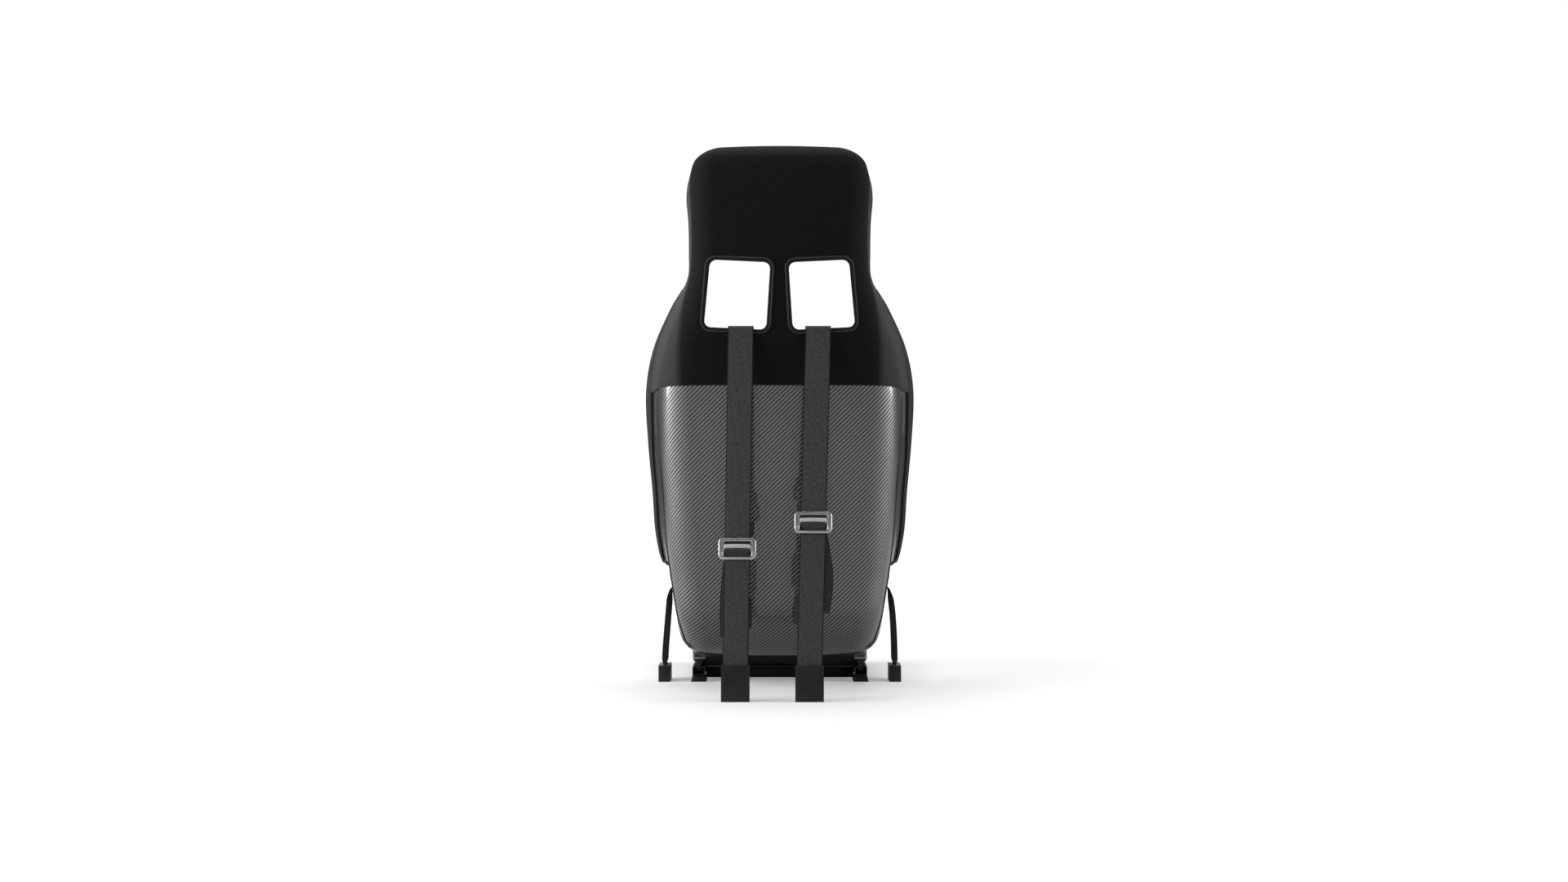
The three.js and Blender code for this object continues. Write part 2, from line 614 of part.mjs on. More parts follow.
// ---------------------------------------------------------------- release bar

const release = new THREE.Group();
seat.add(release);

function buildReleaseBar() {
  const { tube, arm, pivotY, reach, drop } = RELEASE;
  const pivotZ = railBottom + RAIL.lower + 6;
  release.position.set(0, pivotY, pivotZ);
  const half = arm - 2;
  const arch = [
    [half, 12, 0], [half, -60, -drop / 2], [half, 28 - reach, -drop], [half - 10, 8 - reach, -drop],
    [half - 32, -reach, -drop],
  ];
  const other = arch.map(([x, y, z]) => [-x, y, z]).reverse();
  const corners = [...arch, ...other].map((p) => new THREE.Vector3(...p));
  const path = new THREE.CatmullRomCurve3(corners, false, 'centripetal');
  const section = new THREE.Shape().absarc(0, 0, tube, 0, 2 * Math.PI);
  const bar = new THREE.ExtrudeGeometry(section, { steps: 36, extrudePath: path, curveSegments: 4 });
  const pins = [1, -1].map((side) => {
    const inner = half - tube / 2;
    const outer = RAIL.half - RAIL.wide / 2 + RAIL.wall + RAIL.lip - GAP;
    return new THREE.CylinderGeometry(3, 3, outer - inner, 10).rotateZ(Math.PI / 2)
      .translate(side * (outer + inner) / 2, 0, 0);
  });
  addPiece('release_bar', join(bar, ...pins), 'blackSteel', release);
}

// ---------------------------------------------------------------- buckle and tongues

const buckle = new THREE.Group();
seat.add(buckle);
const buckleStation = stationAtPlace(BUCKLE.place);
buckle.position.copy(bucketPoint(buckleStation, 0, base + CUSHION + 3));
buckle.quaternion.setFromUnitVectors(new THREE.Vector3(0, 0, 1), skinNormal(buckleStation, 0));
buckle.updateMatrixWorld(true);

const NOSE = { half: 11, from: BUCKLE.radius - 11, shoulder: BUCKLE.radius + 16 };
const tongueEnd = NOSE.shoulder + TONGUE.long - 16;
const tongueLow = (BUCKLE.high - TONGUE.thick) / 2;
const SHOULDER_ANGLE = 32;
const LAP_ANGLE = 95;
const CROTCH_ANGLE = 180;
const TONGUES = [
  { name: 'shoulder_tongue_left', angle: -SHOULDER_ANGLE },
  { name: 'shoulder_tongue_right', angle: SHOULDER_ANGLE },
  { name: 'lap_tongue_left', angle: -LAP_ANGLE },
  { name: 'lap_tongue_right', angle: LAP_ANGLE },
];

function buildBuckle() {
  const { radius, high, knob, knobHigh } = BUCKLE;
  const profile = [[0, 0], [radius - 3, 0], [radius, 3], [radius, high - 4], [radius - 4, high], [0, high]];
  const disc = new THREE.LatheGeometry(profile.map((p) => new THREE.Vector2(...p)), 28).rotateX(Math.PI / 2);
  const play = 0.6;
  const slotLow = [-NOSE.half - play, NOSE.from - play, tongueLow - play];
  const slotHigh = [NOSE.half + play, radius + 5, tongueLow + TONGUE.thick + play];
  const slots = [...TONGUES.map(({ angle }) => angle), CROTCH_ANGLE].map((angle) => (
    block(slotLow, slotHigh).rotateZ(THREE.MathUtils.degToRad(angle))));
  addPiece('buckle_body', cut(disc, ...slots), 'blackSteel', buckle);

  const low = high + GAP;
  const top = low + knobHigh - 2;
  const capProfile = [[0, low], [knob, low], [knob, low + 5], [knob - 4, top], [0, top]];
  const cap = new THREE.LatheGeometry(capProfile.map((p) => new THREE.Vector2(...p)), 24).rotateX(Math.PI / 2);
  const grip = new THREE.BoxGeometry(1.7 * knob, 8, 5).translate(0, 0, top - 1);
  addPiece('buckle_knob', join(cap, grip), 'brightSteel', buckle);

  TONGUES.forEach(({ name, angle }) => {
    const { half, from, shoulder } = NOSE;
    const wide = TONGUE.wide / 2;
    const outline = roundedOutline([
      [-half, from], [half, from], [half, shoulder - 14], [wide, shoulder],
      [wide, tongueEnd], [-wide, tongueEnd], [-wide, shoulder], [-half, shoulder - 14],
    ], 3);
    const slit = rectangle(wide - 4, 2.5).map(([x, y]) => new THREE.Vector2(x, y + tongueEnd - 7));
    outline.holes.push(new THREE.Path(slit));
    const settings = { depth: TONGUE.thick, bevelEnabled: false, curveSegments: 2 };
    const plate = new THREE.ExtrudeGeometry(outline, settings);
    plate.translate(0, 0, tongueLow).rotateZ(THREE.MathUtils.degToRad(angle));
    addPiece(name, plate, 'brightSteel', buckle);
  });
}

/** The outer end of a tongue, a little past its edge, and the direction of its width there. */
function tongueMouth(angle, past = 1) {
  const turn = THREE.MathUtils.degToRad(angle);
  const axis = new THREE.Vector3(0, 0, 1);
  const end = new THREE.Vector3(0, tongueEnd + past, tongueLow + TONGUE.thick / 2).applyAxisAngle(axis, turn);
  const wide = new THREE.Vector3(1, 0, 0).applyAxisAngle(axis, turn).applyQuaternion(buckle.quaternion);
  return { end: buckle.localToWorld(end).toArray(), wide: wide.toArray() };
}

// ---------------------------------------------------------------- floor anchors

/** A tapered boot over an anchor plate, open underneath, with a slot for the webbing in its top. */
function buildBoot(kind, name, { x, y, wide, deep, high, lean, wall, alongX: strapAlongX }) {
  const wedge = (shrink, low, top) => bentBox(1, 1, 1, (u, v, w) => new THREE.Vector3(
    x + (u - 0.5) * (wide - shrink),
    y + (v - 0.5) * (deep - shrink - 4 * w) - lean * w,
    THREE.MathUtils.lerp(low, top, w),
  ));
  const slotHalf = WEBBING.wide / 2 + (strapAlongX ? 0.6 : 3);
  const thin = WEBBING.thick / 2 + 0.8;
  const topY = y - lean;
  const slot = strapAlongX
    ? block([x - slotHalf, topY - thin, high - 4 * wall], [x + slotHalf, topY + thin + 1, high + 1])
    : block([x - thin, topY - slotHalf, high - 4 * wall], [x + thin, topY + slotHalf, high + 1]);
  const hollow = cut(wedge(0, 0, high), wedge(2 * wall, -1, high - wall), slot);
  addPiece(`${kind}_anchor_${name}`, hollow, 'bootPlastic');
  const halfX = (wide - 2 * wall) / 2 - 0.6;
  const halfY = (deep - 2 * wall) / 2 - 0.6;
  const foot = block([x - halfX, y - halfY, 0], [x + halfX, y + halfY - 1, ANCHOR_PLATE.footHigh]);
  const thick = ANCHOR_PLATE.wall / 2;
  const tall = 0.55 * high;
  const shift = lean * tall / high;
  const upright = strapAlongX
    ? block([x - halfX, y - thick - shift / 2, 1], [x + halfX, y + thick - shift / 2, tall])
    : block([x - thick, y - halfY + 3, 1], [x + thick, y + halfY - 3, tall]);
  addPiece(`${kind}_anchor_plate_${name}`, join(foot, upright), 'blackSteel');
}

const floorX = (side) => STRAP_LEAN + side * FLOOR_SPACING / 2;
const shoulderBootY = SHOULDER_BOOT.rear - SHOULDER_BOOT.deep / 2;

function buildAnchors(name, side) {
  buildBoot('shoulder', name, { ...SHOULDER_BOOT, x: floorX(side), y: shoulderBootY, alongX: true });
  buildBoot('lap', name, {
    ...LAP_BOOT, x: side * LAP_BOOT.half, y: LAP_BOOT.rear - LAP_BOOT.deep / 2, lean: 0, alongX: false,
  });
}

// ---------------------------------------------------------------- straps and adjusters

const windowX = (side) => side * STRAP_SPACING / 2;
const trimRear = skinPoint(stationAtHeight(WINDOW.bottom - 3), 0.2).y + WINDOW_TRIM.outside;
const foldHeight = WINDOW.bottom + WEBBING.thick / 2 + 1.4;
const shoulderStart = { y: shoulderBootY - SHOULDER_BOOT.lean, z: SHOULDER_BOOT.high - 2 * SHOULDER_BOOT.wall };
const shoulderFinish = { y: trimRear + 3, z: WINDOW.bottom - 12 };

/** The middle of the shoulder webbing behind the seat at a height. */
function strapAt(side, z) {
  const share = (shoulderFinish.z - z) / (shoulderFinish.z - shoulderStart.z);
  const x = THREE.MathUtils.lerp(windowX(side), floorX(side), share);
  return [x, THREE.MathUtils.lerp(shoulderFinish.y, shoulderStart.y, share), z];
}

function buildShoulderStrap(name, side, adjusterZ) {
  const x = windowX(side);
  const rearPath = [
    strapAt(side, shoulderStart.z), strapAt(side, 200), strapAt(side, 330), strapAt(side, 460),
    strapAt(side, 600), strapAt(side, shoulderFinish.z),
    [x, trimRear + 2.4, WINDOW.bottom - 1], [x, trimRear - 1, foldHeight + 1.2],
    [x, trimRear - 7, foldHeight + 0.8], [x, trimRear - 16, foldHeight + 0.5],
  ];
  const rear = webbing(rearPath, () => [1, 0, 0], 26);
  const [tailX, tailY] = strapAt(side, adjusterZ);
  const bulge = side * 4;
  const tail = webbing([
    [tailX, tailY - 0.6, adjusterZ - 6], [tailX + bulge, tailY - 9, adjusterZ - 45],
    [tailX + bulge, tailY - 11, adjusterZ - 90], [tailX + bulge / 2, tailY - 6, adjusterZ - 165],
  ], () => [1, 0, 0], 8);
  addPiece(`shoulder_strap_rear_${name}`, join(rear, tail), 'webbing');

  const { end, wide } = tongueMouth(-side * SHOULDER_ANGLE);
  const clear = base + BACK_PAD + 6;
  const onPad = (along, share) => {
    const p = bucketPoint(along, 0, clear);
    return [THREE.MathUtils.lerp(x, end[0] + side * 8, share), p.y, p.z];
  };
  const cushionRear = bucketPoint(station('heel') + 0.15, 0, base + CUSHION + 12);
  const frontPath = [
    [x, trimRear - 16.8, foldHeight + 0.5], [x, trimRear - 30, foldHeight - 1],
    onPad(stationAtHeight(WINDOW.bottom - 25), 0.02), onPad(station('widest') + 0.2, 0.15),
    onPad(station('ribs'), 0.3),
    onPad(station('waist'), 0.5), onPad(station('hip top'), 0.68), onPad(station('hip'), 0.85),
    [end[0] + side * 5, cushionRear.y + 12, cushionRear.z + 14], end,
  ];
  const front = webbing(frontPath, (v) => {
    const turned = THREE.MathUtils.smoothstep(v, 0.8, 1);
    return new THREE.Vector3(1, 0, 0).lerp(new THREE.Vector3(...wide), turned).toArray();
  }, 32);
  addPiece(`shoulder_strap_front_${name}`, front, 'webbing');
}

function buildAdjuster(name, side, z) {
  const { wide, high, bar, deep, corner } = ADJUSTER;
  const [x, y] = strapAt(side, z);
  const place = y + WEBBING.thick / 2 + 0.9;
  const frame = roundedOutline(rectangle(wide / 2, high / 2), corner);
  const halfWide = wide / 2 - bar;
  const halfHigh = high / 2 - bar;
  const hole = roundedOutline(rectangle(halfWide, halfHigh), corner - bar / 2);
  frame.holes.push(new THREE.Path(hole.getPoints(3)));
  const ring = alongY(frame, place, place + deep, 4).translate(x, 0, z);
  addPiece(`shoulder_adjuster_${name}`, ring, 'brightSteel');
  const play = 0.4;
  const middle = block([x - halfWide + play, place + play, z - bar / 2],
    [x + halfWide - play, place + deep - play, z + bar / 2]);
  addPiece(`adjuster_bar_${name}`, middle, 'brightSteel');
}

function buildLapStrap(name, side) {
  const { end, wide } = tongueMouth(-side * LAP_ANGLE);
  const y = NOTCH.middle;
  const wallHalf = skinHalfAt(y, NOTCH.floor);
  const top = NOTCH.floor + WEBBING.thick / 2 + 1.2;
  const bootY = LAP_BOOT.rear - LAP_BOOT.deep / 2;
  const outer = webbing([
    [side * (wallHalf - 8), y, top], [side * (wallHalf + 2), y, top - 0.2],
    [side * (wallHalf + 7.5), y + 1, top - 9], [side * (wallHalf + 9.5), y + 12, top - 45],
    [side * (LAP_BOOT.half - 1), bootY - 6, LAP_BOOT.high + 24],
    [side * LAP_BOOT.half, bootY, LAP_BOOT.high - 2 * LAP_BOOT.wall],
  ], () => [0, 1, 0], 14);
  addPiece(`lap_strap_outer_${name}`, outer, 'webbing');
  const turnTo = new THREE.Vector3(...wide).multiplyScalar(Math.sign(wide[1]));
  const inner = webbing([
    [side * (wallHalf - 8.8), y, top], [side * (wallHalf - 26), y, top - 4],
    [side * (wallHalf - 70), y + 3, top - 26],
    [end[0] + side * 40, end[1] - 2, end[2] + 9], end,
  ], (v) => new THREE.Vector3(0, 1, 0).lerp(turnTo, v).toArray(), 10);
  addPiece(`lap_strap_inner_${name}`, inner, 'webbing');
}

function buildCrotchStrap() {
  const { end } = tongueMouth(CROTCH_ANGLE, 1 - TONGUE.long);
  const place = CROTCH_SLOT.place;
  const surface = bucketPoint(stationAtPlace(place), 0, base + CUSHION);
  const under = skinPoint(stationAtPlace(place), 0).z - 14;
  addPiece('crotch_strap', webbing([
    [0, place, under], [0, place, surface.z - 12], [0, place + 3, surface.z + 4],
    [0, place + 22, surface.z + 9], end,
  ], () => [1, 0, 0], 12, WEBBING.crotchWide), 'webbing');
}

// ---------------------------------------------------------------- assembly

buildBucket();
buildPads();
bothSides(buildWindowTrim);
bothSides(buildEdgeRoll);
bothSides(buildRails);
buildCrossMembers();
bothSides(buildBracket);
buildReleaseBar();
buildBuckle();
bothSides(buildAnchors);
buildShoulderStrap('left', 1, ADJUSTER.leftZ);
buildShoulderStrap('right', -1, ADJUSTER.rightZ);
buildAdjuster('left', 1, ADJUSTER.leftZ);
buildAdjuster('right', -1, ADJUSTER.rightZ);
bothSides(buildLapStrap);
buildCrotchStrap();

export default seat;
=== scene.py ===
"""Racing bucket seat on slide rails with a six-point harness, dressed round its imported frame.

Metres, +Z up; the bucket faces -Y and +X is the driver's left. Sizes in the tables are in
millimetres.
"""

import functools
import logging
import math
from dataclasses import dataclass, field
from enum import Enum
from typing import Callable, Sequence

import bmesh
import bpy
from mathutils import Matrix, Vector


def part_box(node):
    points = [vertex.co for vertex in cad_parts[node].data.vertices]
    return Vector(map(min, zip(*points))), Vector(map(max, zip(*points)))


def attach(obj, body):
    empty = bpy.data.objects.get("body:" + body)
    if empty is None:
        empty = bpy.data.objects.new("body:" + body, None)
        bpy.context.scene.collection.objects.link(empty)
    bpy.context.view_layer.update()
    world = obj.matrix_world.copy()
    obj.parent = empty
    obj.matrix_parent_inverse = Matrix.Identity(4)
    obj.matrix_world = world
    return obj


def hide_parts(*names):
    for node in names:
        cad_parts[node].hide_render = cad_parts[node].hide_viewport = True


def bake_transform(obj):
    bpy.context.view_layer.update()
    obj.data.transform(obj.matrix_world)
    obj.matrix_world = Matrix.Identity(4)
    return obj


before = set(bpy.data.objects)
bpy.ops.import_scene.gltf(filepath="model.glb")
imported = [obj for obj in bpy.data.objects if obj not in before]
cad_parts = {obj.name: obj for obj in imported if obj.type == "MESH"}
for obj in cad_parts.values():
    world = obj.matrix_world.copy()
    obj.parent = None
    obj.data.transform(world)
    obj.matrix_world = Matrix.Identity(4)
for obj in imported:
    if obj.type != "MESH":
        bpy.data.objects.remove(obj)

MM = 0.001
LOG = logging.getLogger("racing_seat")
UV_NAME = "weave"
RIM = 3.0  # The place across the bucket of its free edge.
PLAIN_ANGLE = 38.0  # Edges sharper than this stay sharp on a plain piece, in degrees.
ROUND_ANGLE = 60.0  # The same on a tube or a rounded frame.
BMesh = bmesh.types.BMesh
Piece = bpy.types.Object
Socket = bpy.types.NodeSocket
Material = bpy.types.Material
Place = Callable[[float, float], Vector]
Unroll = Callable[[float, float], tuple[float, float]]


class Side(Enum):
    """The driver's left is +X."""

    LEFT = 1
    RIGHT = -1

    @property
    def word(self) -> str:
        """The side's word in the names of pieces and nodes."""
        return self.name.lower()

    def both(self, near: float, far: float) -> tuple[float, float]:
        """A range of places across the bucket, mirrored for the right."""
        return (near, far) if self is Side.LEFT else (-far, -near)


def mix(a: float, b: float, share: float) -> float:
    """The number a share of the way from a to b."""
    return a + (b - a) * share


def ease(low: float, high: float, value: float) -> float:
    """A smooth step from 0 at low to 1 at high."""
    t = min(1.0, max(0.0, (value - low) / (high - low)))
    return t * t * (3 - 2 * t)


def bump_at(value: float, middle: float, width: float) -> float:
    """A bell curve of height 1 round a middle."""
    return math.exp(-(((value - middle) / width) ** 2))


# ------------------------------------------------------------------ lines


@dataclass(frozen=True)
class SmoothLine:
    """A smooth curve through a few points."""

    points: tuple[Vector, ...]

    def at(self, share: float) -> Vector:
        """The point a share of the way along, each stretch between points counting the same.

        Args:
            share: 0 at the first point, 1 at the last.

        Returns:
            The point on the curve.
        """
        last = len(self.points) - 1
        place = min(max(share, 0.0), 1.0) * last
        index = min(int(place), last - 1)
        p = self.points
        before = p[index - 1] if index > 0 else 2 * p[0] - p[1]
        after = p[index + 2] if index + 2 <= last else 2 * p[last] - p[last - 1]
        return self._between(before, p[index], p[index + 1], after, place - index)

    @staticmethod
    def _between(p0: Vector, p1: Vector, p2: Vector, p3: Vector, t: float) -> Vector:
        """The centripetal Catmull-Rom point between p1 and p2.

        Args:
            p0: The point before the stretch.
            p1: The stretch's start.
            p2: The stretch's end.
            p3: The point after the stretch.
            t: 0 at p1, 1 at p2.

        Returns:
            The point.
        """
        step = math.sqrt((p2 - p1).length) or 1.0
        first = math.sqrt((p1 - p0).length) or step
        third = math.sqrt((p3 - p2).length) or step
        leave = ((p1 - p0) / first - (p2 - p0) / (first + step) + (p2 - p1) / step) * step
        enter = ((p2 - p1) / step - (p3 - p1) / (step + third) + (p3 - p2) / third) * step
        return (
            p1 + t * leave + t * t * (3 * (p2 - p1) - 2 * leave - enter)
            + t ** 3 * (2 * (p1 - p2) + leave + enter)
        )

    @functools.cached_property
    def _lengths(self) -> list[float]:
        """Running length at even shares of the curve."""
        count = 24 * len(self.points)
        found, here = [0.0], self.at(0)
        for i in range(1, count + 1):
            there = self.at(i / count)
            found.append(found[-1] + (there - here).length)
            here = there
        return found

    @property
    def length(self) -> float:
        """The curve's whole length."""
        return self._lengths[-1]

    def walk(self, share: float) -> Vector:
        """The point a share of the length along.

        Args:
            share: 0 at the start, 1 at the end.

        Returns:
            The point on the curve.
        """
        table, target = self._lengths, min(max(share, 0.0), 1.0) * self._lengths[-1]
        low, high = 0, len(table) - 1
        while high - low > 1:
            middle = (low + high) // 2
            low, high = (middle, high) if table[middle] <= target else (low, middle)
        gap = table[high] - table[low]
        return self.at((low + (target - table[low]) / gap if gap else low) / (len(table) - 1))

    def heading(self, share: float) -> Vector:
        """The direction of travel a share of the length along."""
        return (self.walk(share + 0.004) - self.walk(share - 0.004)).normalized()


def line_of(*points: Sequence[float]) -> SmoothLine:
    """A smooth line through points given in millimetres."""
    return SmoothLine(tuple(Vector(p) * MM for p in points))


# ------------------------------------------------------------------ the bucket's form


@dataclass(frozen=True)
class Section:
    """A key section of the bucket: its middle, its free edge and the turn between, in mm."""

    name: str
    spine: tuple[float, float]
    rim: tuple[float, float, float]
    corner: float
    fillet: float


SECTIONS = (
    Section("head lip", (294, 1027), (106, 288, 1017), 90, 12),
    Section("head top", (322, 1030), (148, 270, 1008), 126, 30),
    Section("head crest", (342, 1016), (168, 248, 984), 152, 40),
    Section("head upper", (350, 975), (174, 234, 952), 160, 45),
    Section("head middle", (350, 915), (171, 226, 904), 158, 45),
    Section("head lower", (344, 850), (170, 224, 848), 157, 45),
    Section("neck", (334, 795), (173, 212, 796), 162, 45),
    Section("shoulder top", (321, 735), (207, 165, 740), 177, 50),
    Section("shoulder", (304, 665), (246, 90, 662), 205, 60),
    Section("widest", (284, 588), (263, 34, 582), 222, 68),
    Section("ribs", (257.7, 482.8), (260, 15, 479.8), 222, 68),
    Section("waist", (233.24, 384.96), (252, 5, 383.96), 216, 66),
    Section("hip top", (212.73, 302.91), (246, 0, 299.91), 212, 64),
    Section("hip", (194.05, 228.22), (235, -10, 246.22), 207, 62),
    Section("tail", (168.54, 126.17), (222, -45, 226), 199, 60),
    Section("heel", (110, 68), (221, -85, 226), 191, 58),
    Section("pan rear", (20, 62), (222, -125, 232), 188, 58),
    Section("pan middle", (-110, 84), (223, -205, 244), 188, 56),
    Section("pan front", (-251.4, 120), (225, -291.4, 250), 192, 54),
    Section("lip", (-326.4, 142), (222, -331.4, 236), 193, 50),
    Section("front edge", (-363.4, 132), (204, -360.4, 184), 180, 40),
)
LAST = len(SECTIONS) - 1


@dataclass(frozen=True)
class BucketForm:
    """The bucket's outer skin.

    along counts the key sections from the head lip to the front edge. across is 0 in the middle,
    1 and 2 where the back's fillet starts and ends, 3 on the rim and one more per 10 mm past it;
    it is negative on the right.
    """

    crown: float = 5.0
    wall: float = 5.0

    @functools.cached_property
    def _lines(self) -> tuple[SmoothLine, SmoothLine, SmoothLine]:
        """The lines of the middle, the rim and the turn."""
        return (
            SmoothLine(tuple(Vector((0, *s.spine)) for s in SECTIONS)),
            SmoothLine(tuple(Vector(s.rim) for s in SECTIONS)),
            SmoothLine(tuple(Vector((s.corner, s.fillet, 40 * i)) for i, s in enumerate(SECTIONS))),
        )

    @functools.lru_cache(maxsize=None)
    def _section(self, along: float) -> tuple[Vector, Vector, float, float, float, float, float,
                                              float]:
        """The parts of the section at a station, worked out once."""
        spine, rim, turn_of = (line.at(along / LAST) for line in self._lines)
        forward = Vector((0, rim.y - spine.y, rim.z - spine.z))
        depth = forward.length
        flare = rim.x - turn_of.x
        side = math.hypot(flare, depth)
        turn = math.atan2(depth, flare)
        run = min(turn_of.y * math.tan(turn / 2), 0.8 * side)
        radius = run / math.tan(turn / 2)
        flat, rest = turn_of.x - run, side - run
        return spine, forward / depth, flat, turn, radius, rest, flare / side, depth / side

    def skin(self, along: float, across: float) -> Vector:
        """A point on the outer skin.

        Args:
            along: Station number.
            across: Place across the section.

        Returns:
            The point, in metres.
        """
        along = min(max(along, 0.0), float(LAST))
        spine, forward, flat, turn, radius, rest, lean, rise = self._section(round(along, 5))
        a = abs(across)
        x = min(a, 1.0) * flat
        v = -self.crown * (1 - min(a, 1.0) ** 2)
        if a > 1:
            angle = min(a - 1, 1.0) * turn
            x += radius * math.sin(angle)
            v += radius * (1 - math.cos(angle))
        if a > 2:
            out = min(a - 2, 1.0) * rest + 10 * max(a - 3, 0.0)
            x += out * lean
            v += out * rise
        y, z = spine.y + v * forward.y, spine.z + v * forward.z
        return Vector((math.copysign(x, across), y, z)) * MM

    def normal(self, along: float, across: float) -> Vector:
        """The unit normal of the skin, towards the driver."""
        step = 0.02
        down = self.skin(along + step, across) - self.skin(along - step, across)
        over = self.skin(along, across + step) - self.skin(along, across - step)
        return down.cross(over).normalized()

    def point(self, along: float, across: float, inset: float) -> Vector:
        """A point some millimetres in from the outer skin, towards the driver."""
        return self.skin(along, across) + self.normal(along, across) * inset * MM

    @functools.cached_property
    def _spine_lengths(self) -> list[float]:
        """Running length down the middle at every tenth of a station."""
        found, here = [0.0], self.skin(0, 0)
        for i in range(1, 10 * LAST + 1):
            there = self.skin(i / 10, 0)
            found.append(found[-1] + (there - here).length)
            here = there
        return found

    def unrolled(self, along: float, across: float) -> tuple[float, float]:
        """Where a point of the skin lies when the bucket's cloth is laid flat, in metres.

        Args:
            along: Station number.
            across: Place across the section.

        Returns:
            The distance from the middle line, and the distance down from the head lip.
        """
        along = min(max(along, 0.0), float(LAST))
        _, _, flat, turn, radius, rest, _, _ = self._section(round(along, 5))
        a = abs(across)
        over = min(a, 1.0) * flat + min(max(a - 1, 0.0), 1.0) * turn * radius
        over += min(max(a - 2, 0.0), 1.0) * rest + 10 * max(a - 3, 0.0)
        index = min(int(along * 10), 10 * LAST - 1)
        low, high = self._spine_lengths[index], self._spine_lengths[index + 1]
        return math.copysign(over * MM, across), mix(low, high, along * 10 - index)

    def station(self, name: str) -> int:
        """The station number of a named key section."""
        return next(i for i, s in enumerate(SECTIONS) if s.name == name)

    def station_at(self, axis: int, value: float, low: float, high: float) -> float:
        """The station between two others where the middle line passes a place.

        Args:
            axis: 1 for a place along Y, 2 for a height.
            value: The place, in millimetres; it falls from low to high.
            low: First station of the search.
            high: Last station of the search.

        Returns:
            The station.
        """
        for _ in range(30):
            middle = (low + high) / 2
            low, high = (middle, high) if self.skin(middle, 0)[axis] > value * MM else (low, middle)
        return low

    def side_at(self, y: float, z: float) -> tuple[float, float]:
        """The station and place across where the left side passes a place and a height, in mm."""
        target, best, found = (y * MM, z * MM), math.inf, (0.0, 0.0)
        for i in range(100, 176):
            for j in range(30, 66):
                p = self.skin(i / 10, j / 20)
                miss = math.hypot(p.y - target[0], p.z - target[1])
                if miss < best:
                    best, found = miss, (i / 10, j / 20)
        return found


FORM = BucketForm()


# ------------------------------------------------------------------ mesh helpers


def mapped_grid(cells: tuple[int, int], place: Place, unroll: Unroll) -> BMesh:
    """A grid laid onto a surface, with its cloth directions kept as a UV map.

    Args:
        cells: Cells in u and in v.
        place: The surface point for u and v, each 0 to 1.
        unroll: The flat place, in metres, for u and v.

    Returns:
        The mesh.
    """
    bm = bmesh.new()
    bmesh.ops.create_grid(bm, x_segments=cells[0], y_segments=cells[1], size=0.5)
    uv = bm.loops.layers.uv.new(UV_NAME)
    for face in bm.faces:
        for loop in face.loops:
            loop[uv].uv = unroll(loop.vert.co.x + 0.5, loop.vert.co.y + 0.5)
    for vert in bm.verts:
        vert.co = place(vert.co.x + 0.5, vert.co.y + 0.5)
    return bm


def tube_grid(line: SmoothLine, around: int, steps: int, radius: Callable[[float], float],
              flat: float = 1.0, up: Vector = Vector((0, 1, 0)), closed: bool = False) -> BMesh:
    """A round or oval tube along a line.

    Args:
        line: The tube's middle.
        around: Cells round the tube.
        steps: Cells along it.
        radius: The radius for a share of the length.
        flat: How thick it is along up, as a share of the radius.
        up: The direction that flat works in.
        closed: Whether the ends meet; open ends get round caps.

    Returns:
        The mesh, without doubles.
    """
    def place(u: float, v: float) -> Vector:
        """The tube's surface."""
        ahead = line.heading(0.0 if closed and v > 0.9999 else v)
        over = ahead.cross(up).normalized()
        out = over.cross(ahead).normalized()
        angle, r = 2 * math.pi * u, radius(v)
        return line.walk(v) + over * r * math.cos(angle) + out * r * flat * math.sin(angle)

    size = 2 * math.pi * radius(0.5)
    bm = mapped_grid((around, steps), place, lambda u, v: (u * size, v * line.length))
    if not closed:
        for share in (0.0, 1.0):
            cap_tube(bm, line, share)
    bmesh.ops.remove_doubles(bm, verts=bm.verts, dist=1e-5)
    bmesh.ops.recalc_face_normals(bm, faces=bm.faces)
    return bm


# How far each ring of a round end narrows from the last, and how far it stands out, both as
# shares of the radius.
CAP_RINGS = ((0.75, 0.3), (1 / 15, 0.5))


def cap_tube(bm: BMesh, line: SmoothLine, share: float) -> None:
    """Closes a tube's end with two narrowing rings.

    Args:
        bm: The tube.
        line: Its middle.
        share: Which end, 0 or 1.
    """
    middle = line.walk(share)
    ahead = line.heading(share) * (1 if share else -1)
    ends = [v for v in bm.verts if abs((v.co - middle).dot(ahead)) < 1e-6 and v.is_boundary]
    rim = {e for v in ends for e in v.link_edges if e.is_boundary and e.other_vert(v) in ends}
    reach = sum((v.co - middle).length for v in ends) / max(len(ends), 1)
    for shrink, push in CAP_RINGS:
        grown = bmesh.ops.extrude_edge_only(bm, edges=list(rim))["geom"]
        for vert in (g for g in grown if isinstance(g, bmesh.types.BMVert)):
            spread = vert.co - middle
            spread -= ahead * spread.dot(ahead)
            vert.co = middle + spread * shrink + ahead * reach * push
        rim = {g for g in grown if isinstance(g, bmesh.types.BMEdge)}


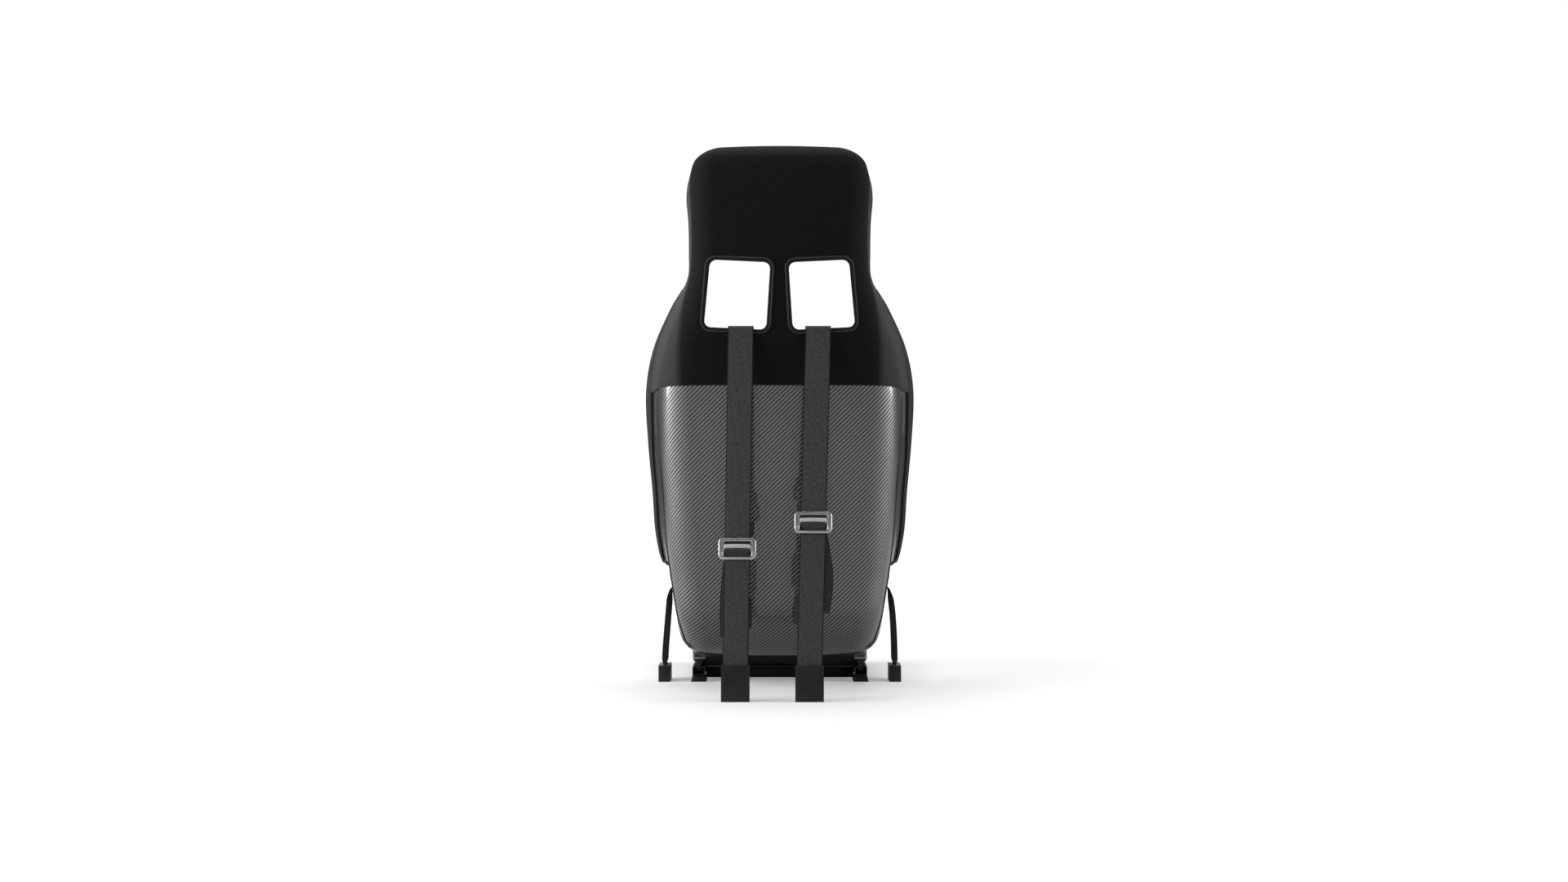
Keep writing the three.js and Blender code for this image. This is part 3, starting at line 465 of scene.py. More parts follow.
def prism(outline: Sequence[tuple[float, float]], corner: float, low: float, high: float,
          turn: Matrix = Matrix.Identity(3), segments: int = 8) -> BMesh:
    """A flat outline with rounded corners, drawn out along its own normal.

    Args:
        outline: Corner points in the outline's plane, in millimetres.
        corner: Radius of the corners.
        low: Where the prism starts.
        high: Where it ends.
        turn: Takes the outline's plane and normal to the frame's axes.
        segments: Steps round each corner.

    Returns:
        The closed mesh.
    """
    bm = bmesh.new()
    face = bm.faces.new([bm.verts.new((x * MM, y * MM, low * MM)) for x, y in outline])
    if corner:
        bmesh.ops.bevel(bm, geom=list(bm.verts), offset=corner * MM, offset_type="OFFSET",
                        affect="VERTICES", segments=segments, profile=0.5, material=-1)
        face = bm.faces[:][0]
    top = bmesh.ops.extrude_face_region(bm, geom=[face], use_keep_orig=True)["geom"]
    bmesh.ops.translate(bm, verts=[g for g in top if isinstance(g, bmesh.types.BMVert)],
                        vec=(0, 0, (high - low) * MM))
    bm.transform(turn.to_4x4())
    bmesh.ops.recalc_face_normals(bm, faces=bm.faces)
    if bm.calc_volume(signed=True) < 0:
        bmesh.ops.reverse_faces(bm, faces=bm.faces)
    return bm


# The outline's x and y, and the way it is drawn out, as columns.
FACING_Y = Matrix(((1, 0, 0), (0, 0, 1), (0, 1, 0)))
FACING_X = Matrix(((0, 0, 1), (1, 0, 0), (0, 1, 0)))


def object_of(bm: BMesh, name: str) -> Piece:
    """Makes an object of a finished mesh.

    Args:
        bm: The mesh, which is freed.
        name: The object's name.

    Returns:
        The object, at the origin.
    """
    mesh = bpy.data.meshes.new(name)
    bm.to_mesh(mesh)
    bm.free()
    piece = bpy.data.objects.new(name, mesh)
    bpy.context.scene.collection.objects.link(piece)
    return piece


def settle(piece: Piece) -> Piece:
    """Applies a piece's modifiers to its mesh."""
    bpy.context.view_layer.update()
    evaluated = piece.evaluated_get(bpy.context.evaluated_depsgraph_get())
    mesh = bpy.data.meshes.new_from_object(evaluated)
    piece.modifiers.clear()
    piece.data = mesh
    mesh.name = piece.name
    return piece


def smooth(piece: Piece, angle: float = PLAIN_ANGLE) -> None:
    """Shades a piece smooth up to an angle in degrees."""
    piece.data.polygons.foreach_set("use_smooth", [True] * len(piece.data.polygons))
    piece.data.set_sharp_from_angle(angle=math.radians(angle))


def thicken(piece: Piece, wall: float, offset: float) -> None:
    """Gives a sheet its wall, in millimetres; offset -1 is inwards, 0 both ways, 1 outwards."""
    wall_step = piece.modifiers.new("wall", "SOLIDIFY")
    wall_step.thickness = wall * MM
    wall_step.offset = offset
    wall_step.use_even_offset = True


def soften(piece: Piece, width: float, segments: int = 2, angle: float = 30) -> None:
    """Rounds a piece's edges by a width in millimetres."""
    edge = piece.modifiers.new("edges", "BEVEL")
    edge.width = width * MM
    edge.segments = segments
    edge.limit_method = "ANGLE"
    edge.angle_limit = math.radians(angle)
    edge.use_clamp_overlap = True


def cut_out(piece: Piece, cutters: Sequence[BMesh]) -> Piece:
    """Cuts closed meshes out of a piece.

    Args:
        piece: The piece; its modifiers are applied first.
        cutters: The meshes, which are freed.

    Returns:
        The piece.
    """
    tools = [object_of(bm, f"{piece.name}_cutter_{i}") for i, bm in enumerate(cutters)]
    for tool in tools:
        step = piece.modifiers.new("cut", "BOOLEAN")
        step.operation = "DIFFERENCE"
        step.solver = "EXACT"
        step.object = tool
    settle(piece)
    for tool in tools:
        bpy.data.objects.remove(tool)
    return piece


# ------------------------------------------------------------------ finishes


@dataclass
class Graph:
    """The nodes of one material."""

    material: Material

    @classmethod
    def start(cls, name: str) -> "Graph":
        """A new material with one surface shader."""
        material = bpy.data.materials.new(name)
        material.use_nodes = True
        return cls(material)

    @property
    def shader(self) -> bpy.types.Node:
        """The surface shader."""
        return next(n for n in self.material.node_tree.nodes if n.type == "BSDF_PRINCIPLED")

    def settings(self, **values: object) -> None:
        """Sets plain values on the surface shader, its sockets named in small letters."""
        for name, value in values.items():
            socket = next(s for s in self.shader.inputs if s.name.lower().replace(" ", "_") == name)
            socket.default_value = value

    def node(self, kind: str, inputs: dict[str | int, object] | None = None,
             **settings: object) -> bpy.types.Node:
        """Adds a node.

        Args:
            kind: The node's type after ShaderNode.
            inputs: Values or sockets for its inputs.
            settings: The node's own settings.

        Returns:
            The node.
        """
        made = self.material.node_tree.nodes.new("ShaderNode" + kind)
        for name, value in settings.items():
            setattr(made, name, value)
        for name, value in (inputs or {}).items():
            if isinstance(value, Socket):
                self.material.node_tree.links.new(value, made.inputs[name])
            else:
                made.inputs[name].default_value = value
        return made

    def sum(self, operation: str, a: object, b: object = 0.0) -> Socket:
        """One step of arithmetic on numbers or sockets."""
        return self.node("Math", {0: a, 1: b}, operation=operation).outputs[0]

    def plus(self, a: object, b: object) -> Socket:
        """The sum of two numbers or sockets."""
        return self.sum("ADD", a, b)

    def times(self, a: object, b: object) -> Socket:
        """The product of two numbers or sockets."""
        return self.sum("MULTIPLY", a, b)

    def wave(self, place: Socket, pitch: float) -> Socket:
        """A sine wave, -1 to 1, with a pitch in millimetres."""
        return self.sum("SINE", self.times(place, 2 * math.pi / (pitch * MM)))

    def lifted(self, wave: Socket) -> Socket:
        """A wave of -1 to 1 as 0 to 1."""
        return self.times(self.plus(wave, 1.0), 0.5)

    def arch(self, count: Socket) -> Socket:
        """One round arch, 0 to 1, over each whole step of a count."""
        return self.sum("SINE", self.times(self.sum("FRACT", count), math.pi))

    def cloth_place(self) -> tuple[Socket, Socket]:
        """The place across and along the cloth, in metres."""
        uv = self.node("UVMap", uv_map=UV_NAME)
        split = self.node("SeparateXYZ", {0: uv.outputs[0]})
        return split.outputs[0], split.outputs[1]

    def body_place(self) -> Socket:
        """The place on the object, in metres."""
        return self.node("TexCoord").outputs["Object"]

    def vector(self, x: object, y: object, z: object = 0.0) -> Socket:
        """Three numbers or sockets as one place."""
        return self.node("CombineXYZ", {0: x, 1: y, 2: z}).outputs[0]

    def noise(self, where: Socket, scale: float, detail: float = 2.0,
              rough: float = 0.5) -> Socket:
        """Noise at a place."""
        made = self.node("TexNoise",
                         {"Vector": where, "Scale": scale, "Detail": detail, "Roughness": rough})
        return made.outputs[0]

    def ramp(self, factor: Socket, low: float, high: float,
             dark: Sequence[float], light: Sequence[float]) -> Socket:
        """Colours between two values of a factor."""
        made = self.node("ValToRGB", {0: factor})
        for stop, place, colour in zip(made.color_ramp.elements, (low, high), (dark, light)):
            stop.position, stop.color = place, (*colour, 1)
        return made.outputs[0]

    def blend(self, factor: object, a: object, b: object) -> Socket:
        """Two colours mixed by a factor."""
        made = self.node("Mix", data_type="RGBA")
        for index, value in ((0, factor), (6, a), (7, b)):
            if isinstance(value, Socket):
                self.material.node_tree.links.new(value, made.inputs[index])
            else:
                made.inputs[index].default_value = value if index == 0 else (*value, 1)
        return made.outputs[2]

    def remap(self, factor: Socket, low: float, high: float) -> Socket:
        """A factor of 0 to 1 as a number from low to high."""
        return self.node("MapRange", {0: factor, 3: low, 4: high}).outputs[0]

    def paint(self, colour: Socket, rough: Socket,
              height: Socket, depth: float, strength: float = 1.0) -> Material:
        """Joins colour, roughness and a height in metres times depth to the surface.

        Args:
            colour: The base colour.
            rough: The roughness.
            height: The bump's height, 0 to 1.
            depth: What height 1 stands for, in metres.
            strength: The bump's strength.

        Returns:
            The finished material.
        """
        links = self.material.node_tree.links
        links.new(colour, self.shader.inputs["Base Color"])
        links.new(rough, self.shader.inputs["Roughness"])
        bump = self.node("Bump", {"Height": height, "Distance": depth, "Strength": strength})
        links.new(bump.outputs[0], self.shader.inputs["Normal"])
        return self.material


def grey(value: float, cool: float = 0.0) -> tuple[float, float, float]:
    """A grey with a little more blue where it is cool."""
    return value, value, value * (1 + cool)


@dataclass(frozen=True)
class CarbonTwill:
    """Clear-coated two-by-two twill of carbon tows, one direction of tow coloured pale as a painted
    glint.
    """

    tow: float = 2.15
    dark: float = 0.008
    light: float = 0.19

    def build(self) -> Material:
        """Makes the material."""
        g = Graph.start("carbon_twill")
        over, down = g.cloth_place()
        column = g.sum("DIVIDE", over, self.tow * MM)
        row = g.sum("DIVIDE", down, self.tow * MM)
        step = g.sum("SUBTRACT", g.sum("FLOOR", column), g.sum("FLOOR", row))
        on_top = g.sum("LESS_THAN", g.sum("FLOORED_MODULO", step, 4.0), 1.5)
        warp = g.arch(column)
        weft = g.arch(row)
        height = g.node("Mix", {0: on_top, 2: weft, 3: warp}, data_type="FLOAT").outputs[0]
        fibres_down = g.noise(g.vector(g.times(over, 9000.0), g.times(down, 300.0)), 1.0)
        fibres_over = g.noise(g.vector(g.times(over, 300.0), g.times(down, 9000.0)), 1.0)
        fibres = g.node("Mix", {0: on_top, 2: fibres_over, 3: fibres_down},
                        data_type="FLOAT").outputs[0]
        # Painted reflection: tows lying one way are coloured pale and the crossing tows dark,
        # standing in for the glint carbon fibre gives along its fibres.
        painted_tow_glint = g.blend(on_top, grey(self.dark, 0.03), grey(self.light, 0.03))
        tint = g.ramp(fibres, 0.3, 0.7, grey(0.85), grey(1.0))
        colour = g.node("Mix", {0: 1.0, 6: painted_tow_glint, 7: tint}, data_type="RGBA",
                        blend_type="MULTIPLY").outputs[2]
        g.settings(metallic=0.85, coat_weight=1.0, coat_roughness=0.04, coat_ior=1.5)
        relief = g.plus(height, g.times(fibres, 0.15))
        return g.paint(colour, g.remap(fibres, 0.36, 0.44), relief, 0.00003)


@dataclass(frozen=True)
class RibbedCloth:
    """Black cloth with fine diagonal ribs whose crests carry a painted highlight; plain on the
    flanks, which are painted paler as side light.
    """

    name: str = "ribbed_cloth"
    pitch: float = 4.2
    bead_share: float = 0.45
    dark: float = 0.0006
    light: float = 0.019
    sheen: float = 0.02
    flank: float = 0.19

    def build(self) -> Material:
        """Makes the material."""
        g = Graph.start(self.name)
        over, down = g.cloth_place()
        wander = g.times(g.noise(g.vector(over, down), 90.0), 0.0016)
        slant = g.plus(g.times(g.sum("SUBTRACT", over, down), math.sqrt(0.5)), wander)
        rib = g.lifted(g.wave(slant, self.pitch))
        rise = g.times(g.plus(over, down), math.sqrt(0.5))
        bead = g.lifted(g.wave(rise, self.bead_share * self.pitch))
        patch = g.noise(g.vector(over, down), 600.0, 3.0, 0.6)
        height = g.plus(g.times(rib, 0.7), g.times(bead, 0.3))
        # Painted highlight: the colour follows the ribs' height, so each crest shows as a narrow
        # bright line of light caught on it.
        tone = g.times(g.sum("POWER", height, 3.2), g.remap(patch, 0.2, 1.7))
        colour = g.ramp(tone, 0.02, 0.8, grey(self.dark), grey(self.light, 0.02))
        # The flanks are a plainer cloth without ribs; their paler colour is painted side light.
        out = g.sum("ABSOLUTE", over)
        plain_sidelit_flank = g.node("MapRange",
                        {0: out, 1: self.flank - 0.006, 2: self.flank + 0.008}).outputs[0]
        colour = g.blend(plain_sidelit_flank, colour, g.ramp(patch, 0.3, 0.7, grey(0.016), grey(0.03, 0.02)))
        height = g.times(height, g.remap(plain_sidelit_flank, 1.0, 0.12))
        g.settings(sheen_weight=self.sheen, sheen_roughness=0.45, specular_ior_level=0.06)
        return g.paint(colour, g.remap(patch, 0.7, 0.9), height, 0.0009)


@dataclass(frozen=True)
class KnittedCloth:
    """Soft black knit over foam, with rows of small loops, painted darker between them as shade."""

    name: str = "knitted_cloth"
    loop: float = 2.4
    dark: float = 0.003
    light: float = 0.02
    sheen: float = 0.08

    def build(self) -> Material:
        """Makes the material."""
        g = Graph.start(self.name)
        over, down = g.cloth_place()
        across = g.wave(over, self.loop)
        along = g.wave(down, self.loop / 0.8)
        cells = g.lifted(g.times(across, along))
        fuzz = g.noise(g.vector(over, down), 1500.0, 3.0, 0.6)
        cloudy = g.noise(g.vector(over, down), 14.0, 2.0)
        # Painted shade: the colour follows the loops' height, darker between the loops; the fuzz
        # and cloud are the knit's own tone.
        tone = g.times(g.plus(cells, fuzz), g.remap(cloudy, 0.4, 0.65))
        colour = g.ramp(tone, 0.25, 0.9, grey(self.dark), grey(self.light, 0.02))
        g.settings(sheen_weight=self.sheen, sheen_roughness=0.4, specular_ior_level=0.12)
        return g.paint(colour, g.remap(fuzz, 0.7, 0.95), cells, 0.0005, 0.8)


@dataclass(frozen=True)
class WovenWebbing:
    """Harness webbing: small picks across, worn pale flecks, thick selvedges coloured darker, and
    painted shade in the weave's hollows.
    """

    name: str = "woven_webbing"
    width: float = 48.0
    dark: float = 0.004
    light: float = 0.085
    spread: tuple[float, float] = (0.8, 1.16)
    rope: float = 1.7
    pick: float = 1.1
    selvedge: float = 1.6

    def build(self) -> Material:
        """Makes the material."""
        g = Graph.start(self.name)
        over, down = g.cloth_place()
        column = g.sum("DIVIDE", over, self.rope * MM)
        row = g.sum("DIVIDE", down, self.pick * MM)
        shift = g.times(g.sum("FLOORED_MODULO", g.sum("FLOOR", column), 2.0), 0.5)
        pick = g.sum("SINE", g.times(g.plus(row, shift), 2 * math.pi))
        rope = g.arch(column)
        height = g.times(g.plus(g.times(pick, 0.5), 1.0), rope)
        fleck = g.noise(g.vector(g.times(over, 340.0), g.times(down, 620.0)), 1.0, 4.0, 0.8)
        long_fleck = g.noise(g.vector(g.times(over, 900.0), g.times(down, 160.0)), 1.0, 3.0, 0.7)
        # Painted shade: the flecks are the webbing's own tone, darkened where the weave's height is
        # low.
        tone = g.times(g.plus(fleck, long_fleck), g.remap(height, 0.55, 1.1))
        edge = g.sum("GREATER_THAN", g.sum("ABSOLUTE", over), (self.width / 2 - self.selvedge) * MM)
        tone = g.times(tone, g.sum("SUBTRACT", 1.0, g.times(edge, 0.45)))
        colour = g.ramp(tone, *self.spread, grey(self.dark), grey(self.light, 0.01))
        g.settings(sheen_weight=0.03, sheen_roughness=0.5, specular_ior_level=0.12)
        return g.paint(colour, g.remap(fleck, 0.6, 0.85), height, 0.0003, 0.8)


@dataclass(frozen=True)
class TwistedCord:
    """Cloth-wrapped piping and rolled edges, painted darker in the grooves of the twist as shade.
    """

    name: str = "twisted_cord"
    dark: float = 0.01
    light: float = 0.05
    twist: float = 2.2

    def build(self) -> Material:
        """Makes the material."""
        g = Graph.start(self.name)
        over, down = g.cloth_place()
        slant = g.plus(over, g.times(down, 1.4))
        strand = g.lifted(g.wave(slant, self.twist))
        fuzz = g.noise(g.vector(over, down), 1200.0, 3.0, 0.65)
        # Painted shade: the colour follows the twist's strands, darker in the grooves between them;
        # the fuzz is the cloth's own tone.
        tone = g.times(strand, g.remap(fuzz, 0.4, 1.5))
        colour = g.ramp(tone, 0.05, 0.9, grey(self.dark), grey(self.light))
        g.settings(sheen_weight=0.05, sheen_roughness=0.5, specular_ior_level=0.12)
        return g.paint(colour, g.remap(fuzz, 0.65, 0.9), strand, 0.0004, 0.7)


@dataclass(frozen=True)
class Coating:
    """Powder coat, moulded plastic or satin paint: a fine grain with paler wear and dust."""

    name: str
    colour: float
    worn: float
    rough: float
    grain: float = 1800.0
    depth: float = 0.00006
    metallic: float = 0.0

    def build(self) -> Material:
        """Makes the material."""
        g = Graph.start(self.name)
        place = g.body_place()
        grain = g.noise(place, self.grain, 3.0, 0.55)
        cloud = g.noise(place, 24.0, 4.0, 0.6)
        colour = g.ramp(cloud, 0.35, 0.75, grey(self.colour), grey(self.worn))
        rough = g.plus(g.remap(cloud, self.rough - 0.08, self.rough + 0.1),
                      g.times(grain, 0.05))
        g.settings(metallic=self.metallic, specular_ior_level=0.45)
        return g.paint(colour, rough, grain, self.depth, 0.8)


@dataclass(frozen=True)
class BareMetal:
    """Brushed, plated or polished metal with fine drawn lines and soft smudges."""

    name: str
    colour: float
    rough: float
    drawn: tuple[float, float, float]
    cool: float = 0.01

    def build(self) -> Material:
        """Makes the material."""
        g = Graph.start(self.name)
        place = g.body_place()
        stretched = g.node("Mapping", {"Vector": place, "Scale": self.drawn}).outputs[0]
        lines = g.noise(stretched, 1.0, 3.0, 0.6)
        smudge = g.noise(place, 35.0, 3.0, 0.55)
        colour = g.ramp(lines, 0.3, 0.7, grey(self.colour * 0.82, self.cool),
                        grey(self.colour, self.cool))
        rough = g.plus(g.remap(smudge, self.rough * 0.7, self.rough * 1.3), g.times(lines, 0.08))
        g.settings(metallic=1.0)
        return g.paint(colour, rough, lines, 0.00003, 0.6)


@dataclass
class Palette:
    """Every finish on the seat, made once."""

    made: dict[str, Material] = field(default_factory=dict)

    def stock(self) -> None:
        """Makes the materials, each under the record's name for it."""
        drawn_y, drawn_x = (2500.0, 40.0, 2500.0), (40.0, 2500.0, 2500.0)
        finishes = {
            "carbon": CarbonTwill(),
            "cover_fabric": RibbedCloth(),
            "pad_fabric": KnittedCloth(),
            "piping": TwistedCord(),
            "edge_roll": TwistedCord("edge_roll_cloth", 0.0015, 0.008, 3.0),
            "webbing": WovenWebbing(),
            # Painted light: the fold over the adjuster's crossbar gets webbing coloured far paler,
            # standing in for light from above on its upper face.
            "worn_webbing": WovenWebbing("worn_webbing", 48.0, 0.16, 0.45, (0.4, 1.0)),
            "black_steel": Coating("powder_coat", 0.003, 0.008, 0.42, metallic=0.3),
            "boot_plastic": Coating("boot_plastic", 0.005, 0.009, 0.36, 900.0, 0.00009),
            "bracket_aluminium": BareMetal("brushed_aluminium", 0.42, 0.34, drawn_y),
            "polished_steel": BareMetal("polished_steel", 0.62, 0.26, drawn_x),
            "zinc_steel": BareMetal("zinc_plate", 0.55, 0.3, drawn_y, -0.05),
            "buckle_black": Coating("buckle_black", 0.008, 0.016, 0.3, 2600.0, 0.00003, 0.2),
            "knob_aluminium": BareMetal("satin_anodised", 0.6, 0.28, drawn_x),
            "tongue_steel": BareMetal("tongue_plate", 0.62, 0.22, drawn_x),
        }
        self.made = {name: finish.build() for name, finish in finishes.items()}


# ------------------------------------------------------------------ assemblies


@dataclass
class Assembly:
    """What every sub-assembly shares: its finishes, and how a piece is hung on the frame."""

    palette: Palette

    def dress(self, piece: Piece, finish: str, body: str | None, slot: str | None = None,
              stands_for: Sequence[str] = (), angle: float = PLAIN_ANGLE) -> Piece:
        """Gives a piece its finish and its body, and hides the CAD nodes that it replaces.

        Args:
            piece: The finished piece.
            finish: The finish's name in the palette.
            body: The body it rides, or None, which leaves it without a body.
            slot: Not used.
            stands_for: The CAD nodes that it replaces.
            angle: Edges sharper than this many degrees stay sharp.

        Returns:
            The piece.
        """
        smooth(piece, angle)
        piece.data.materials.clear()
        piece.data.materials.append(self.palette.made[finish])
        if body:
            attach(piece, body)
        slot or finish
        if stands_for:
            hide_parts(*stands_for)
        LOG.info("%s: %d faces", piece.name, len(piece.data.polygons))
        return piece


@dataclass(frozen=True)
class WindowShape:
    """The outline of a harness window, in mm: half-distances from the middle, and heights."""

    inner_top: float = 16.5
    outer_top: float = 130.0
    inner_bottom: float = 24.5
    outer_bottom: float = 142.5
    bottom: float = 695.0
    height: float = 125.0
    slope: float = 5.5
    corner: float = 13.0

    def outline(self, side: Side, margin: float) -> list[tuple[float, float]]:
        """The window's corners, grown by a margin."""
        low, high = self.bottom - margin, self.bottom + self.height + margin
        half = self.slope / 2
        corners = [
            (self.inner_bottom - margin, low - half), (self.outer_bottom + margin, low + half),
            (self.outer_top + margin, high + half), (self.inner_top - margin, high - half),
        ]
        return [(side.value * x, z) for x, z in corners]

    def bar(self, side: Side, margin: float) -> BMesh:
        """The window drawn out as a bar along Y."""
        return prism(self.outline(side, margin), self.corner + margin, 190, 420, FACING_Y)


# The lap notch's corners: their place along Y and their height, in millimetres.
NOTCH_OUTLINE = (
    (-76, 186), (-14, 185), (58, 212), (104, 222), (128, 231), (116, 241), (58, 243), (14, 239),
    (-8, 234), (-26, 283), (-96, 283), (-84, 208),
)


def crotch_cutter(half: float, near: float, far: float, corner: float, top: float) -> BMesh:
    """The crotch slot as an upright bar from the floor, its sides and ends in millimetres."""
    return prism([(-half, near), (half, near), (half, far), (-half, far)], corner, 0, top)


@dataclass
class Bucket(Assembly):
    """The carbon moulding, its cloth cover, the window trims and the rolled edges."""

    window: WindowShape = WindowShape()
    trim: float = 4.6
    trim_gap: float = 0.35
    hem: tuple[float, float] = (0.35, 8.98)
    binding: tuple[float, float] = (6.4, 13.1)
    roll_stations: tuple[float, ...] = tuple(i / 10 for i in range(16, 126, 3))
    cover_clear: float = 1.6
    cover: float = 2.4
    bead: float = 1.5
    roll_middle: float = 8.4
    roll_low: float = 6.4

    def build(self) -> None:
        """Builds every piece of the bucket."""
        self.moulding()
        self.rear_cover()
        for side in Side:
            self.window_trim(side)
            self.edge_roll(side)
            self.edge_binding(side)
            self.edge_bead(side)

    def notch(self, side: Side) -> BMesh:
        """The lap webbing's notch between wing and bolster, as a bar along X."""
        low, high = side.both(150, 320)
        return prism(NOTCH_OUTLINE, 3, low, high, FACING_X, 3)

    def moulding(self) -> None:
        """The one-piece carbon moulding with its windows, notches and crotch slot."""
        def place(u: float, v: float) -> Vector:
            """The outer skin."""
            return FORM.skin(v * LAST, mix(-RIM, RIM, u))

        bm = mapped_grid((120, 240), place, lambda u, v: FORM.unrolled(v * LAST, mix(-RIM, RIM, u)))
        piece = object_of(bm, "carbon_moulding")
        thicken(piece, FORM.wall, self.wall_way(piece))
        margin = self.trim + self.trim_gap
        slot = crotch_cutter(31, -148, -132, 7, 200)
        cut_out(piece,
                [*(self.window.bar(s, margin) for s in Side), *(self.notch(s) for s in Side), slot])
        self.dress(piece, "carbon", "bucket", stands_for=["moulding"])

    @staticmethod
    def wall_way(piece: Piece) -> float:
        """The Solidify offset that puts a sheet's wall on the driver's side of the skin."""
        face = min(piece.data.polygons, key=lambda p: abs(p.center.x) + abs(p.center.z - 0.5))
        return 1.0 if face.normal.y < 0 else -1.0

    def rear_cover(self) -> None:
        """The cloth drawn over the back of the head and shoulders, ending in a hem."""
        first, last = self.hem
        outside = self.cover_clear + self.cover

        def along_at(u: float, v: float) -> float:
            """The station, with the hem lower at the sides."""
            dip = 0.075 * ease(0.9, 2.6, abs(mix(-RIM, RIM, u)))
            return mix(first, last + dip, v)

        def place(u: float, v: float) -> Vector:
            """The cover's outer face; the hem turns in to the moulding."""
            tuck = 1.5 * ease(0.985, 1.0, v)
            return FORM.point(along_at(u, v), mix(-RIM, RIM, u), -outside + tuck)

        bm = mapped_grid((128, 150), place, lambda u,
                         v: FORM.unrolled(along_at(u, v), mix(-RIM, RIM, u)))
        piece = object_of(bm, "rear_cover_cloth")
        thicken(piece, self.cover, self.wall_way(piece))
        cut_out(piece, [self.window.bar(s, self.trim + self.trim_gap) for s in Side])
        self.dress(piece, "cover_fabric", "bucket", stands_for=["rear_cover"])

    def window_trim(self, side: Side) -> None:
        """The piping round a window and the dark wall inside it."""
        low, high = FORM.station("neck") - 1.0, FORM.station("shoulder") + 1.0

        def on_skin(x: float, z: float, inset: float) -> Vector:
            """The point of the skin at a half-width and a height."""
            along = FORM.station_at(2, z / MM, low, high)
            across = 1.0
            for _ in range(18):
                p = FORM.skin(along, across)
                across *= x / p.x if abs(across) <= 1 else 1 + 0.3 * (x - p.x) / p.x
                across = min(max(across, 0.02), 2.4)
                along += (p.z - z) / 0.07
            p = FORM.point(along, across * side.value, inset)
            return Vector((side.value * x, p.y, z))

        def ring(margin: float, inset: float) -> SmoothLine:
            """The window's outline grown by a margin, laid on the skin at an inset."""
            flat = prism(self.window.outline(side, margin), self.window.corner + margin, 0, 1,
                         FACING_Y, 10)
            points = self.rim_loop(flat)
            flat.free()
            return SmoothLine(tuple(on_skin(abs(p.x), p.z, inset) for p in points))

        bm = tube_grid(ring(6.2, -self.cover_clear - self.cover - 0.5), 10, 240,
                       lambda v: self.bead * MM, closed=True)
        self.dress(object_of(bm, f"window_piping_{side.word}"), "piping", "bucket",
                   stands_for=[f"window_trim_{side.word}"])
        rings = [ring(5.6, -4.4), ring(2.2, -4.0), ring(0.4, -2.2), ring(0.0, 1.0), ring(0.6, 6.6)]
        first = rings[0]

        def wall(u: float, v: float) -> Vector:
            """The lining from the piping to the driver's face of the moulding."""
            place = u * (len(rings) - 1)
            index = min(int(place), len(rings) - 2)
            return rings[index].walk(v).lerp(rings[index + 1].walk(v), place - index)

        bm = mapped_grid((12, 220), wall, lambda u, v: (0.018 * u, v * first.length))
        bmesh.ops.remove_doubles(bm, verts=bm.verts, dist=1e-5)
        piece = object_of(bm, f"window_lining_{side.word}")
        thicken(piece, 1.2, 0.0)
        self.dress(settle(piece), "edge_roll", "bucket", "cover_fabric")

    @staticmethod
    def rim_loop(bm: BMesh) -> list[Vector]:
        """The points round a flat prism's first face, closed."""
        face = min(bm.faces, key=lambda f: (f.calc_center_median().y, -f.calc_area()))
        points = [v.co.copy() for v in face.verts]
        found = []
        for here, there in zip(points, points[1:] + points[:1]):
            steps = max(1, round((there - here).length / 0.012))
            found += [here.lerp(there, i / steps) for i in range(steps)]
        return found + [found[0]]

    def roll_line(self, side: Side) -> SmoothLine:
        """The middle of the rolled edge: down the wing and back round the notch's upper corner."""
        points = []
        for along in self.roll_stations:
            half = self.roll_radius(along)
            points.append(FORM.point(along, side.value * (RIM + (half - 3) / 10), half - 4))
        for y, z, inset in ((2, 249, 2.2), (20, 243.5, 2.2), (42, 243, 2.0), (70, 243, 1.6),
                            (96, 241.5, 1.2)):
            along, across = FORM.side_at(y, z)
            spot = FORM.point(along, across, inset)
            points.append(Vector((side.value * spot.x, y * MM, z * MM)))
        return SmoothLine(tuple(points))

    def roll_radius(self, along: float) -> float:
        """The roll's radius, fullest at the shoulder and slim at head and hip, in millimetres."""
        upper = mix(6.0, self.roll_middle, ease(5.6, 8.2, along))
        return mix(upper, self.roll_low, ease(9.6, 12.2, along))

    def edge_roll(self, side: Side) -> None:
        """The cloth roll over the moulding's free edge, ending in a hook round the lap notch."""
        line = self.roll_line(side)

        def radius(share: float) -> float:
            """The radius a share of the length along."""
            point = line.walk(share)
            nearest = min(range(len(line.points)), key=lambda i: (line.points[i] - point).length)
            along = self.roll_stations[min(nearest, len(self.roll_stations) - 1)]
            hook = 1 - 0.42 * ease(0.88, 1.0, share)
            return self.roll_radius(along) * hook * MM

        bm = tube_grid(line, 20, 240, radius, up=Vector((1, 0, 0)))
        self.dress(object_of(bm, f"edge_roll_cloth_{side.word}"), "edge_roll", "bucket",
                   "cover_fabric", stands_for=[f"edge_roll_{side.word}"], angle=ROUND_ANGLE)

    def edge_binding(self, side: Side) -> None:
        """The cloth of the rolled edge where it laps onto the wing's outer face."""
        def inner_edge(along: float) -> float:
            """How far the binding reaches in from the rim."""
            grown = mix(0.06, 0.44, ease(6.4, 9.0, along))
            return RIM - mix(grown, 0.25, ease(9.2, 10.6, along))

